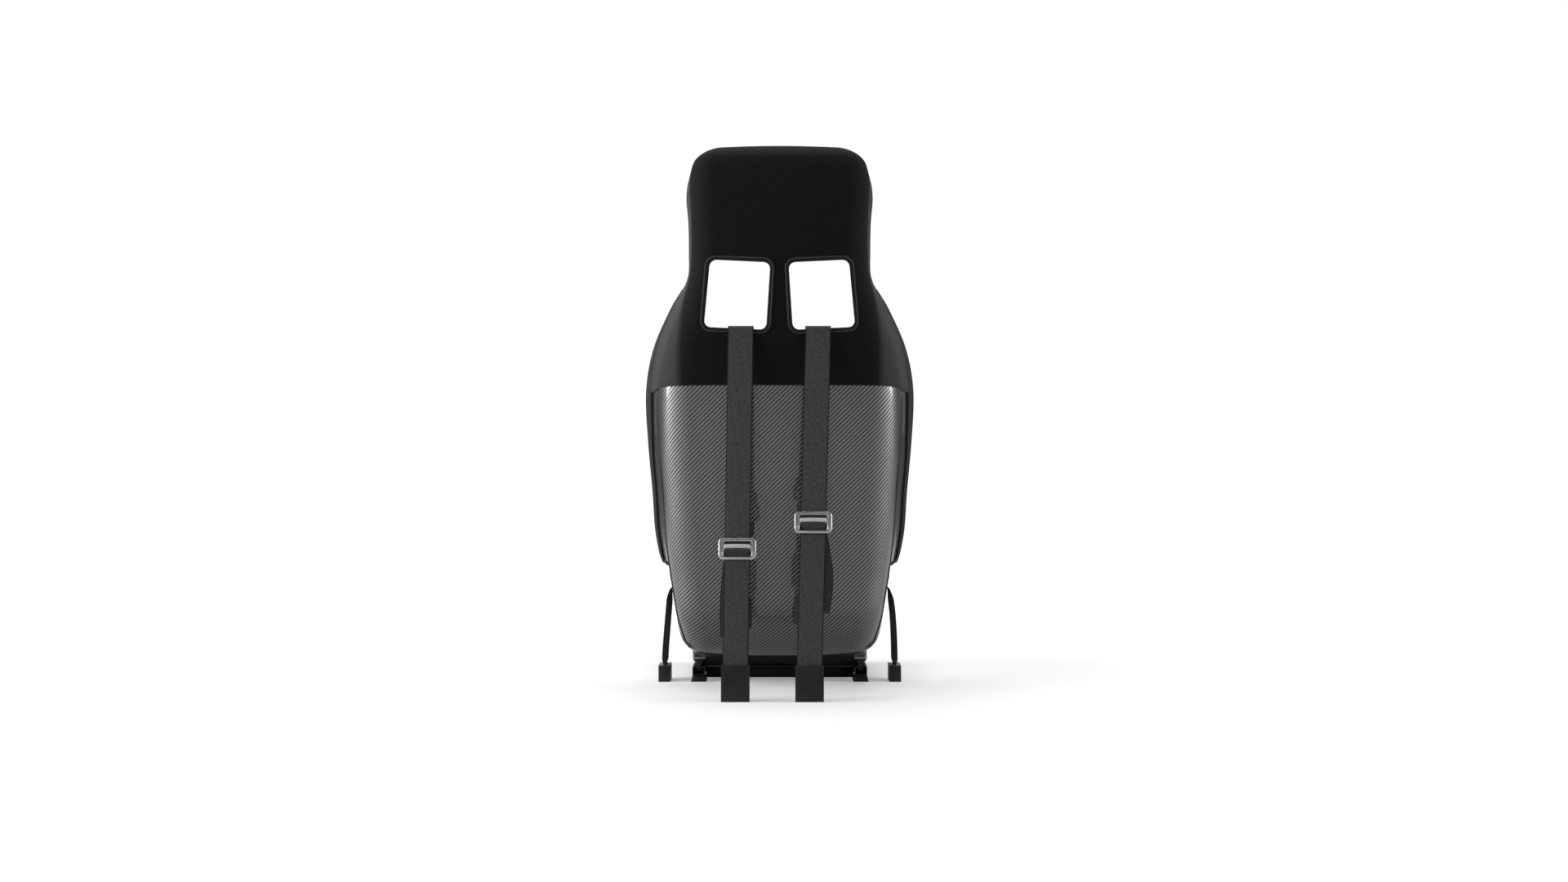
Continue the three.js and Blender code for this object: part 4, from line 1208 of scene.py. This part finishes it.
        def place(u: float, v: float) -> Vector:
            """The binding's outer face, plump along its inner hem."""
            along = mix(*self.binding, v)
            plump = math.sqrt(max(0.0, 1 - (1 - min(u / 0.2, 1.0)) ** 2))
            across = side.value * mix(inner_edge(along), 3.1, u)
            return FORM.point(along, across, -self.cover_clear - 0.4 - 2.4 * plump)

        def flat(u: float, v: float) -> tuple[float, float]:
            """The binding laid flat."""
            along = mix(*self.binding, v)
            return FORM.unrolled(along, side.value * mix(inner_edge(along), 3.1, u))

        piece = object_of(mapped_grid((14, 150), place, flat), f"edge_binding_{side.word}")
        thicken(piece, 1.4, 0.0)
        cut_out(piece, [self.notch(side)])
        self.dress(piece, "edge_roll", "bucket", "cover_fabric", angle=ROUND_ANGLE)

    def edge_bead(self, side: Side) -> None:
        """The thin black bead where the moulding's back meets its side."""
        points = [FORM.point(a, side.value * w, -0.4) for a, w in (
            (9.15, 2.08), (9.6, 2.1), (10.4, 2.1), (11.2, 2.08), (12.0, 2.04), (12.6, 2.0),
            (13.2, 1.92), (13.7, 1.84), (14.2, 1.74), (14.6, 1.62), (15.0, 1.5),
        )]
        bm = tube_grid(SmoothLine(tuple(points)), 8, 160, lambda v: self.bead * MM,
                       up=Vector((1, 0, 0)))
        self.dress(object_of(bm, f"edge_bead_{side.word}"), "buckle_black", "bucket",
                   angle=ROUND_ANGLE)


@dataclass(frozen=True)
class PadShape:
    """A pad's place on the bucket, its thickness, and where its sewn channels run, as shares."""

    node: str
    along: tuple[float, float]
    across: tuple[float, float]
    high: float
    down_channels: tuple[float, ...] = ()
    cross_channels: tuple[float, ...] = ()
    swell: float = 6.0


@dataclass
class Padding(Assembly):
    """The loose pads of head, back, wings, thighs and the cushion."""

    clear: float = 1.6
    edge: float = 0.4
    channel_depth: float = 0.34
    cell: float = 0.008
    frames: int = 20
    pressure: float = 4.0

    def shapes(self) -> list[PadShape]:
        """Every pad, in order."""
        found = [
            PadShape("head_pad", (1.6, 5), (-2.95, 2.95), 20, (0.27, 0.73), (0.5,)),
            PadShape("back_pad", (8, 13.5), (-1, 1), 21, (0.33, 0.67), (0.2, 0.4, 0.6, 0.8)),
            PadShape("seat_cushion", (14.5, 19.5), (-1, 1), 38, (0.25, 0.75), (0.28, 0.5)),
        ]
        for side in Side:
            found.append(PadShape(f"wing_pad_{side.word}", (7, 12.5), side.both(1.5, 2.9), 19, (),
                                  (0.33, 0.66)))
            found.append(PadShape(f"thigh_pad_{side.word}", (16, 19.5), side.both(1.25, 2.94), 17,
                                  (0.5,), ()))
        return found

    def build(self) -> None:
        """Builds and dresses every pad."""
        for shape in self.shapes():
            self.pad(shape)

    def height(self, shape: PadShape, u: float, v: float) -> float:
        """How far the pad stands off at a place, in millimetres."""
        near = min(u, 1 - u, v, 1 - v)
        round_edge = math.sqrt(max(0.0, 1 - (1 - min(near / 0.14, 1.0)) ** 2))
        sunk = max(
            [bump_at(u, c, 0.02) for c in shape.down_channels]
            + [bump_at(v, c, 0.014) for c in shape.cross_channels] + [0.0]
        )
        stand = self.edge + (1 - self.edge) * round_edge
        return shape.high * stand * (1 - self.channel_depth * sunk)

    def pad(self, shape: PadShape) -> None:
        """One pad: two faces joined round their edge, inflated between its seams.

        Args:
            shape: The pad.
        """
        size = FORM.unrolled(shape.along[0], shape.across[1])[0] - FORM.unrolled(
            shape.along[0], shape.across[0])[0]
        long = FORM.unrolled(shape.along[1], 0)[1] - FORM.unrolled(shape.along[0], 0)[1]
        cells = (max(16, round(abs(size) / self.cell)), max(16, round(long / self.cell)))

        def face(raised: float) -> BMesh:
            """The pad's top or its underside."""
            def place(u: float, v: float) -> Vector:
                """The face's surface."""
                inset = FORM.wall + self.clear + raised * self.height(shape, u, v)
                return FORM.point(mix(*shape.along, v), mix(*shape.across, u), inset)

            def flat(u: float, v: float) -> tuple[float, float]:
                """The face laid flat."""
                return FORM.unrolled(mix(*shape.along, v), mix(*shape.across, u))

            return mapped_grid(cells, place, flat)

        top, under = face(1.0), face(0.0)
        bmesh.ops.reverse_faces(under, faces=under.faces)
        spare = bpy.data.meshes.new("spare")
        under.to_mesh(spare)
        under.free()
        count = len(top.verts)
        top.from_mesh(spare)
        bpy.data.meshes.remove(spare)
        bmesh.ops.bridge_loops(top, edges=[e for e in top.edges if e.is_boundary])
        bmesh.ops.recalc_face_normals(top, faces=top.faces)
        piece = object_of(top, f"{shape.node}_cover")
        self.inflate(piece, shape, cells, count)
        if shape.node == "seat_cushion":
            cut_out(piece, [crotch_cutter(30, -147, -133, 6, 260)])
        fine = piece.modifiers.new("fine", "SUBSURF")
        fine.levels = fine.render_levels = 1
        self.dress(settle(piece), "pad_fabric", "bucket", stands_for=[shape.node], angle=80)

    def inflate(self, piece: Piece, shape: PadShape, cells: tuple[int, int], count: int) -> None:
        """Swells the pad's cloth between its seams by simulation.

        Args:
            piece: The pad.
            shape: Its shape.
            cells: Cells of each face.
            count: How many vertices the top face has.
        """
        held = piece.vertex_groups.new(name="held")
        flat = bmesh.new()
        bmesh.ops.create_grid(flat, x_segments=cells[0], y_segments=cells[1], size=0.5)
        shares = [(v.co.x + 0.5, v.co.y + 0.5) for v in flat.verts]
        flat.free()
        for index in range(len(piece.data.vertices)):
            if index >= count:
                held.add([index], 1.0, "REPLACE")
                continue
            u, v = shares[index]
            near = min(u, 1 - u, v, 1 - v)
            seam = any(abs(u - c) < 0.6 / cells[0] for c in shape.down_channels)
            seam = seam or any(abs(v - c) < 0.6 / cells[1] for c in shape.cross_channels)
            if seam or near < 0.5 / max(cells):
                held.add([index], 1.0, "REPLACE")
        before = [v.co.copy() for v in piece.data.vertices]
        cloth = piece.modifiers.new("cloth", "CLOTH")
        cloth.settings.use_pressure = True
        cloth.settings.uniform_pressure_force = self.pressure
        cloth.settings.vertex_group_mass = "held"
        cloth.settings.quality = 5
        cloth.settings.effector_weights.gravity = 0
        cloth.point_cache.frame_start, cloth.point_cache.frame_end = 1, self.frames
        for step in range(1, self.frames + 1):
            bpy.context.scene.frame_set(step)
        settle(piece)
        for vert, rest in zip(piece.data.vertices, before):
            moved = vert.co - rest
            if moved.length > shape.swell * MM:
                vert.co = rest + moved.normalized() * shape.swell * MM
        bpy.context.scene.frame_set(1)
        piece.vertex_groups.clear()


def level(v: float) -> Vector:
    """The width's direction in webbing that lies square across the bucket."""
    return Vector((1, 0, 0))


@dataclass
class Strap:
    """A run of webbing: the line that it follows and the direction of its width."""

    name: str
    line: SmoothLine
    width_way: Callable[[float], Vector]
    width: float = 48.0
    thick: float = 2.2
    cells: int = 90
    ragged: float = 0.0

    def mesh(self) -> Piece:
        """The webbing, thickened and with its edges softened."""
        def place(u: float, v: float) -> Vector:
            """The webbing's middle surface, very slightly cupped."""
            over = self.width_way(v).normalized()
            out = over.cross(self.line.heading(v)).normalized()
            cup = 0.5 * MM * (2 * u - 1) ** 2 * math.sin(math.pi * v)
            fray = self.ragged * MM * math.sin(41 * u) * math.sin(17 * u + 1) * (v > 0.9999)
            shift = over * (u - 0.5) * self.width * MM
            return self.line.walk(v) + shift + out * cup + Vector((0, 0, fray))

        def flat(u: float, v: float) -> tuple[float, float]:
            """The place on the flat webbing."""
            return (u - 0.5) * self.width * MM, v * self.line.length

        piece = object_of(mapped_grid((12, self.cells), place, flat), self.name)
        thicken(piece, self.thick, 0.0)
        soften(piece, 0.7, 2, 50)
        return settle(piece)


@dataclass
class Harness(Assembly):
    """Straps, adjusters and the lap and crotch webbing."""

    spacing: float = 145.0
    lean: float = 13.0
    floor_spacing: float = 138.0
    floor_y: float = 343.0
    floor_z: float = 60.0
    side_bar: float = 8.5
    end_bar: float = 6.0
    sill: float = 683.0
    bend: tuple[float, float] = (0.062, 0.683)
    lap_bend: tuple[float, float] = (0.045, 0.18)
    over_back: float = 31.6
    over_cushion: float = 55.6
    tongue_turn: float = math.radians(32)

    def build(self) -> None:
        """Builds every strap and fitting."""
        for side in Side:
            self.shoulder_rear(side)
            self.adjuster(side)
            self.tail(side)
            self.shoulder_front(side)
            self.lap(side)
        self.crotch()

    def bends(self, piece: Piece, node: str, heights: tuple[float, float]) -> None:
        """Dresses webbing that runs from floor to bucket, leaving it without a body and baking its
        place into its mesh.
        """
        self.dress(piece, "webbing", None, stands_for=[node] if node else ())
        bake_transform(piece)

    def box(self, node: str) -> tuple[Vector, Vector, Vector]:
        """A CAD node's lowest and highest corners and its middle, in millimetres."""
        low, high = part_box(node)
        return low / MM, high / MM, (low + high) / 2 / MM

    def strap_at(self, side: Side, z: float) -> tuple[float, float]:
        """Where the shoulder webbing's middle lies behind the seat at a height, in millimetres."""
        low, high, _ = self.box(f"shoulder_adjuster_{side.word}")
        middle_z = (low.z + high.z) / 2
        at_frame = low.y - 2.1
        slope = (self.floor_y - at_frame) / (self.floor_z - middle_z)
        floor_x = self.lean + side.value * self.floor_spacing / 2
        share = (self.sill - z) / (self.sill - self.floor_z)
        return mix(side.value * self.spacing / 2, floor_x, share), at_frame + slope * (z - middle_z)

    def shoulder_rear(self, side: Side) -> None:
        """The webbing from the floor boot, through the adjuster and over the window's edge."""
        low, high, middle = self.box(f"shoulder_adjuster_{side.word}")
        node_low, node_high, _ = self.box(f"shoulder_strap_rear_{side.word}")
        top = node_high.z - 1.2
        points: list[tuple[float, float, float]] = []
        for z in (self.floor_z, 90, 150, middle.z - 60, middle.z - 30, middle.z - 19):
            x, y = self.strap_at(side, z)
            points.append((x, y, z))
        x, _ = self.strap_at(side, middle.z)
        points += [
            (x, low.y - 1.0, middle.z - 13), (x, low.y + 1.2, middle.z - 7.5),
            (x, high.y + 1.4, middle.z - 3.6),
            (x, high.y + 4.2, middle.z + 0.6), (x, high.y + 4.0, middle.z + 4.6),
            (x, high.y + 0.6, middle.z + 7.6),
            (x, low.y - 1.2, middle.z + 9.5), (x, low.y - 2.4, middle.z + 13.5),
        ]
        for z in (middle.z + 19, middle.z + 30, middle.z + 60, 470, 560, 640, self.sill):
            x, y = self.strap_at(side, z)
            points.append((x, y, z))
        points += [(x, y - 0.6, 692), (x, y - 3.4, top - 1.0), (x, y - 7.5, top),
                   (x, y - 14, top - 0.3), (x, node_low.y + 0.5, top - 0.4)]
        strap = Strap(f"shoulder_webbing_{side.word}", line_of(*points), level, cells=260)
        self.bends(strap.mesh(), f"shoulder_strap_rear_{side.word}", self.bend)

    def adjuster(self, side: Side) -> None:
        """The polished flat frame, its sliding crossbar and the webbing's fold over it, the fold
        painted pale as if lit from above.
        """
        low, high, middle = self.box(f"shoulder_adjuster_{side.word}")

        def ring(wide: float, tall: float, corner: float, near: float, far: float) -> BMesh:
            """A rounded rectangle round the frame's middle, drawn out along Y."""
            outline = [(middle.x + a * wide / 2, middle.z + b * tall / 2)
                       for a, b in ((-1, -1), (1, -1), (1, 1), (-1, 1))]
            return prism(outline, corner, near, far, FACING_Y, 8)

        piece = object_of(ring(high.x - low.x, high.z - low.z, 8.5, low.y, high.y),
                          f"adjuster_frame_{side.word}")
        hole = (high.x - low.x - 2 * self.side_bar, high.z - low.z - 2 * self.end_bar)
        cut_out(piece, [ring(*hole, 4.5, low.y - 3, high.y + 3)])
        soften(piece, 1.5, 4, 40)
        body = f"adjuster_{side.word}"
        self.dress(settle(piece), "polished_steel", body,
                   stands_for=[f"shoulder_adjuster_{side.word}"], angle=ROUND_ANGLE)
        _, _, spot = self.box(f"adjuster_bar_{side.word}")
        reach = hole[0] / 2 + 1.5
        ends = line_of((spot.x - reach, spot.y, spot.z), (spot.x, spot.y, spot.z),
                       (spot.x + reach, spot.y, spot.z))
        bm = tube_grid(ends, 14, 30, lambda v: 3.0 * MM, 0.55)
        self.dress(object_of(bm, f"adjuster_crossbar_{side.word}"), "polished_steel",
                   f"{body}_slider", stands_for=[f"adjuster_bar_{side.word}"], angle=ROUND_ANGLE)
        fold_y, fold_z, half = spot.y + 4.8, spot.z + 4.4, 23.4
        fold = line_of((spot.x - half, fold_y, fold_z), (spot.x, fold_y, fold_z + 0.3),
                       (spot.x + half, fold_y, fold_z))
        bm = tube_grid(fold, 18, 60, lambda v: 4.2 * MM, 0.8)
        # The fold's pale webbing is painted light from above on its upper face.
        self.dress(object_of(bm, f"adjuster_fold_{side.word}"), "worn_webbing", f"{body}_slider",
                   "webbing", angle=ROUND_ANGLE)

    def tail(self, side: Side) -> None:
        """The free tail behind the adjuster, its turned end, and the frayed end above the frame."""
        _, _, middle = self.box(f"shoulder_adjuster_{side.word}")
        left = side is Side.LEFT
        outward = 6.8 if left else 15.5
        length = 166.0 if left else 170.0
        self.strip(side, f"webbing_tail_{side.word}", middle.z - 16, middle.z - length,
                   (0.1, 0.6, 1.0, 1.0, 0.7), outward, (3.6, 7.0, 10.0, 9.5, 6.5), 1.2)
        high, low, inward = (192, 134, -4.5) if left else (196, 142, -9.0)
        self.strip(side, f"webbing_tail_end_{side.word}", high, low, (0.5, 0.9, 1.0, 1.0, 0.9),
                   inward, (7.5, 7.5, 7.5, 7.5, 7.0), 1.6)
        rise = (49, 24) if left else (36, 14)
        self.strip(side, f"webbing_end_{side.word}", middle.z + rise[0], middle.z + rise[1],
                   (1.0, 1.0, 0.9, 0.8, 0.6), -7.0, (3.0, 3.2, 3.4, 3.2, 3.0), 3.0)

    def strip(self, side: Side, name: str, top: float, bottom: float, shares: Sequence[float],
              over: float, backs: Sequence[float], ragged: float) -> None:
        """A loose length of webbing between the strap and the moulding.

        Args:
            side: The strap's side.
            name: The strip's name.
            top: Its upper end's height, in millimetres.
            bottom: Its lower end's height.
            shares: How much of the sideways shift each point has.
            over: The sideways shift away from the middle.
            backs: How far each point lies in front of the strap.
            ragged: How ragged its cut end is.
        """
        path = []
        for i, (share, back) in enumerate(zip(shares, backs)):
            z = mix(top, bottom, i / (len(shares) - 1))
            x, y = self.strap_at(side, z)
            path.append((x + side.value * over * share, y - back, z))
        strap = Strap(name, line_of(*path), lambda v: Vector((1, 0.05 * side.value, 0)), cells=50,
                      ragged=ragged)
        self.bends(strap.mesh(), "", self.bend)

    def shoulder_front(self, side: Side) -> None:
        """The webbing from the window down over the back pad to its buckle tongue."""
        start_low, start_high, _ = self.box(f"shoulder_strap_rear_{side.word}")
        tongue = self.box(f"shoulder_tongue_{side.word}")[2]
        x = side.value * self.spacing / 2
        top = start_high.z - 1.4
        points = [(x, start_low.y - 0.6, top), (x, start_low.y - 14, top - 2)]
        for station, share in ((FORM.station_at(2, 670, 6, 10), 0.02), (9.2, 0.15), (10, 0.3),
                               (11, 0.5), (12, 0.68), (13, 0.85)):
            p = FORM.point(station, 0, FORM.wall + self.over_back) / MM
            points.append((mix(x, tongue.x + side.value * 8, share), p.y, p.z))
        spot = FORM.point(15.15, 0, FORM.wall + self.over_cushion) / MM
        points.append((tongue.x + side.value * 5, spot.y + 12, spot.z + 14))
        points.append(tuple(tongue + self.away(tongue) * 19))
        turned = Vector((math.cos(self.tongue_turn), -side.value * math.sin(self.tongue_turn), 0))
        strap = Strap(f"shoulder_webbing_front_{side.word}", line_of(*points),
                      lambda v: level(v).lerp(turned, ease(0.85, 1, v)), cells=140)
        self.dress(strap.mesh(), "webbing", "bucket",
                   stands_for=[f"shoulder_strap_front_{side.word}"])

    def away(self, spot: Vector) -> Vector:
        """The direction from the buckle's middle to a spot."""
        return (spot - self.box("buckle_body")[2]).normalized()

    def lap(self, side: Side) -> None:
        """The lap webbing: from the floor boot up to the notch, then down to its tongue."""
        low, high, _ = self.box(f"lap_strap_outer_{side.word}")
        boot = self.box(f"lap_anchor_{side.word}")[2]
        sign, top = side.value, high.z - 1.3
        near, far = (low.x, high.x) if sign > 0 else (-high.x, -low.x)
        y = -45.0
        bow = 0.0 if side is Side.LEFT else 1.6
        outer = line_of(
            (sign * (near + 0.2), y, top), (sign * (near + 8), y, top - 0.1),
            (sign * (near + 14.5), y + 0.4, top - 3.2),
            (sign * (near + 18), y + 2, top - 14), (sign * (near + 20 + bow), y + 10, top - 40),
            (sign * (far - 5 + bow), y + 24, top - 78), (sign * (far - 1.6), boot.y - 6, 58),
            (sign * (far - 1.3), boot.y, 28),
        )
        strap = Strap(f"lap_webbing_outer_{side.word}", outer,
                      lambda v: Vector((0.2 * sign * ease(0.05, 0.25, v) * ease(1.0, 0.9, v), 1,
                                        0)), cells=90)
        self.bends(strap.mesh(), f"lap_strap_outer_{side.word}", self.lap_bend)
        inner_low, inner_high, _ = self.box(f"lap_strap_inner_{side.word}")
        tongue = self.box(f"lap_tongue_{side.word}")[2]
        reach = inner_high.x if sign > 0 else -inner_low.x
        mouth = tongue + self.away(tongue) * 18.5
        inner = line_of(
            (sign * (reach - 0.1), y, top), (sign * (reach - 18), y, top - 3),
            (sign * (reach - 62), y + 3, top - 26),
            (mouth.x + sign * 40, mouth.y - 2, mouth.z + 9), tuple(mouth),
        )
        strap = Strap(f"lap_webbing_inner_{side.word}", inner,
                      lambda v: Vector((0.05 * sign * v, 1, 0)), cells=70)
        self.dress(strap.mesh(), "webbing", "bucket", stands_for=[f"lap_strap_inner_{side.word}"])

    def crotch(self) -> None:
        """The crotch webbing up through the cushion's slot to the buckle."""
        low, high, _ = self.box("crotch_strap")
        path = line_of((0, -140, low.z), (0, -140, high.z - 26), (0, -137, high.z - 10),
                       (0, -120, high.z - 3),
                       (0, high.y - 30, high.z - 2.4), (0, high.y, high.z - 1.6))
        strap = Strap("crotch_webbing", path, level, 44.0, cells=60)
        self.dress(strap.mesh(), "webbing", "bucket", stands_for=["crotch_strap"])


@dataclass(frozen=True)
class Fitting:
    """A machined or moulded node that keeps its shape and gets rounded edges."""

    node: str
    body: str
    finish: str
    edge: float
    steps: int = 2


@dataclass
class Fittings(Assembly):
    """Rails, feet, brackets, bolts, boots, buckle and tongues, with their edges rounded."""

    def parts(self) -> list[Fitting]:
        """Every fitting, in order."""
        found = [
            Fitting("cross_member_front", "floor_side", "black_steel", 0.8),
            Fitting("cross_member_rear", "floor_side", "black_steel", 0.8),
            Fitting("seat_cross_member", "bucket", "black_steel", 0.6),
            Fitting("buckle_body", "bucket", "buckle_black", 0.5),
            Fitting("buckle_knob", "buckle_turn", "knob_aluminium", 0.8),
        ]
        for side in Side:
            word = side.word
            found += [
                Fitting(f"lower_rail_{word}", "floor_side", "black_steel", 0.4),
                Fitting(f"upper_rail_{word}", "bucket", "black_steel", 0.4),
                Fitting(f"ball_cage_{word}", f"ball_cage_{word}_body", "zinc_steel", 0.4),
                Fitting(f"rail_foot_front_{word}", "floor_side", "black_steel", 1.6, 3),
                Fitting(f"rail_foot_rear_{word}", "floor_side", "black_steel", 1.6, 3),
                Fitting(f"shoulder_anchor_{word}", "floor_side", "boot_plastic", 1.6, 3),
                Fitting(f"lap_anchor_{word}", "floor_side", "boot_plastic", 1.6, 3),
                Fitting(f"shoulder_anchor_plate_{word}", "floor_side", "black_steel", 0.5),
                Fitting(f"lap_anchor_plate_{word}", "floor_side", "black_steel", 0.5),
                Fitting(f"side_bracket_{word}", "bucket", "bracket_aluminium", 0.5),
                Fitting(f"bracket_bolt_front_{word}", "bucket", "zinc_steel", 0.5),
                Fitting(f"bracket_bolt_rear_{word}", "bucket", "zinc_steel", 0.5),
                Fitting(f"shoulder_tongue_{word}", "bucket", "tongue_steel", 0.5),
                Fitting(f"lap_tongue_{word}", "bucket", "tongue_steel", 0.5),
            ]
        return found

    def build(self) -> None:
        """Builds every fitting and the release bar."""
        for part in self.parts():
            self.rounded(part)
        self.release_bar()

    def rounded(self, part: Fitting) -> None:
        """A copy of a node, its facets joined and its edges rounded.

        Args:
            part: The fitting.
        """
        bm = bmesh.new()
        bm.from_mesh(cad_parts[part.node].data)
        bmesh.ops.remove_doubles(bm, verts=bm.verts, dist=2e-6)
        bmesh.ops.dissolve_limit(bm, angle_limit=math.radians(0.6), verts=bm.verts, edges=bm.edges,
                                 use_dissolve_boundaries=False)
        piece = object_of(bm, f"{part.node}_finished")
        soften(piece, part.edge, part.steps)
        self.dress(settle(piece), part.finish, part.body, stands_for=[part.node])

    def release_bar(self) -> None:
        """The bent tube under the pan's front that the driver lifts, with its two pivot pins."""
        low, high = (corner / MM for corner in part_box("release_bar"))
        z, front, half, tube = high.z - 5, low.y + 5, 138.0, 5.0
        pivot_y = -205.0
        path = line_of(
            (half, pivot_y + 12, z), (half, pivot_y - 60, z - 2), (half, front + 28, z - 4),
            (half - 10, front + 8, z - 4),
            (half - 32, front, z - 4), (32 - half, front, z - 4), (10 - half, front + 8, z - 4),
            (-half, front + 28, z - 4), (-half, pivot_y - 60, z - 2), (-half, pivot_y + 12, z),
        )
        bm = tube_grid(path, 20, 200, lambda v: tube * MM, up=Vector((0, 0, 1)))
        for sign in (1, -1):
            reach = (high.x - half + 2) * MM
            turn = Matrix.Rotation(math.pi / 2, 4, "Y")
            spot = Matrix.Translation(Vector((sign * (high.x + half - 2) / 2, pivot_y, z)) * MM)
            bmesh.ops.create_cone(bm, cap_ends=True, segments=20, radius1=3 * MM, radius2=3 * MM,
                                  depth=reach, matrix=spot @ turn)
        self.dress(object_of(bm, "release_bar_tube"), "black_steel", "release_handle",
                   stands_for=["release_bar"])


@dataclass(frozen=True)
class SoftLight:
    """A rectangular light: where it stands, the point it faces, its size and its power in watts."""

    name: str
    spot: tuple[float, float, float]
    aim: tuple[float, float, float]
    size: tuple[float, float]
    power: float


LIGHTS = (
    SoftLight("side_left", (3.0, 0.5, 0.9), (0.2, 0.2, 0.5), (1.2, 2.2), 130),
    SoftLight("side_right", (-3.0, 0.5, 0.9), (-0.2, 0.2, 0.5), (1.2, 2.2), 90),
    SoftLight("panel_left", (2.3, 1.5, 1.5), (0.2, 0.25, 0.6), (0.7, 1.0), 34),
    SoftLight("soft_left", (2.8, 1.7, 0.6), (0.1, 0.25, 0.4), (1.4, 1.8), 32),
    SoftLight("soft_right", (-2.8, 1.7, 0.6), (-0.1, 0.25, 0.4), (1.4, 1.8), 28),
    SoftLight("top", (0, -0.1, 3.0), (0, 0.05, 0.6), (2.4, 1.6), 100),
    SoftLight("front_fill", (0.4, -3.2, 2.2), (0, 0, 0.5), (3.0, 2.0), 50),
)


@dataclass
class Studio:
    """The pale floor, soft lights and the camera."""

    camera_place: tuple[float, float, float] = (-0.0085, 4.4, 0.484)
    lens: float = 50.0
    floor_tone: float = 0.42
    # The floor's glow near the seat and far from it; the dim near value paints shade round the
    # seat.
    floor_glow_with_near_shade: tuple[float, float] = (0.28, 1.05)
    room_seen: float = 1.1
    room_lit: float = 0.1

    def build(self) -> None:
        """Sets up the room."""
        self.floor()
        self.room_light()
        for soft in LIGHTS:
            self.light(soft)
        self.camera()

    def floor(self) -> None:
        """A wide pale floor that glows white for the camera, its glow dimmed near the seat as
        painted shade.
        """
        bm = bmesh.new()
        bmesh.ops.create_grid(bm, x_segments=1, y_segments=1, size=40)
        piece = object_of(bm, "studio_floor")
        g = Graph.start("studio_floor")
        g.settings(base_color=(*grey(self.floor_tone), 1), roughness=0.9, specular_ior_level=0.1,
                   emission_color=(1, 1, 1, 1))
        spread = g.node("VectorMath", {0: g.body_place()}, operation="LENGTH").outputs["Value"]
        near, far = self.floor_glow_with_near_shade
        # Painted shade: the glow seen by the camera is weaker near the seat, greying the floor
        # round it.
        glow = g.node("MapRange", {0: spread, 1: 0.5, 2: 2.6, 3: near, 4: far},
                      interpolation_type="SMOOTHSTEP")
        seen = g.times(glow.outputs[0], g.node("LightPath").outputs["Is Camera Ray"])
        g.material.node_tree.links.new(seen, g.shader.inputs["Emission Strength"])
        piece.data.materials.append(g.material)

    def room_light(self) -> None:
        """White where it is seen, dimmer as a light."""
        world = bpy.data.worlds.new("studio")
        bpy.context.scene.world = world
        world.use_nodes = True
        nodes, links = world.node_tree.nodes, world.node_tree.links
        nodes.clear()
        seen, lit = nodes.new("ShaderNodeBackground"), nodes.new("ShaderNodeBackground")
        seen.inputs[0].default_value = lit.inputs[0].default_value = (1, 1, 1, 1)
        seen.inputs[1].default_value, lit.inputs[1].default_value = self.room_seen, self.room_lit
        ray, join, out = (nodes.new(f"ShaderNode{k}") for k in ("LightPath", "MixShader",
                                                                "OutputWorld"))
        links.new(ray.outputs["Is Camera Ray"], join.inputs[0])
        links.new(lit.outputs[0], join.inputs[1])
        links.new(seen.outputs[0], join.inputs[2])
        links.new(join.outputs[0], out.inputs[0])

    def light(self, soft: SoftLight) -> None:
        """Hangs one soft light."""
        lamp = bpy.data.lights.new(soft.name, "AREA")
        lamp.shape, lamp.size, lamp.size_y, lamp.energy = "RECTANGLE", *soft.size, soft.power
        holder = bpy.data.objects.new(soft.name, lamp)
        holder.location = soft.spot
        facing = Vector(soft.aim) - Vector(soft.spot)
        holder.rotation_euler = facing.to_track_quat("-Z", "Y").to_euler()
        bpy.context.scene.collection.objects.link(holder)

    def camera(self) -> None:
        """The camera, level and square behind the seat."""
        data = bpy.data.cameras.new("camera")
        data.lens, data.sensor_width, data.clip_end = self.lens, 36.0, 200.0
        camera = bpy.data.objects.new("camera", data)
        camera.location = self.camera_place
        camera.rotation_euler = (math.pi / 2, 0, math.pi)
        bpy.context.scene.collection.objects.link(camera)
        bpy.context.scene.camera = camera
        bpy.context.scene.view_settings.view_transform = "Standard"


def main() -> None:
    """Builds the seat round its frame."""
    logging.basicConfig(level=logging.INFO, format="%(name)s %(message)s")
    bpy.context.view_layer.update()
    palette = Palette()
    palette.stock()
    for assembly in (Bucket(palette), Padding(palette), Harness(palette), Fittings(palette)):
        LOG.info("building %s", type(assembly).__name__)
        assembly.build()
    Studio().build()


if __name__ == "__main__":
    main()
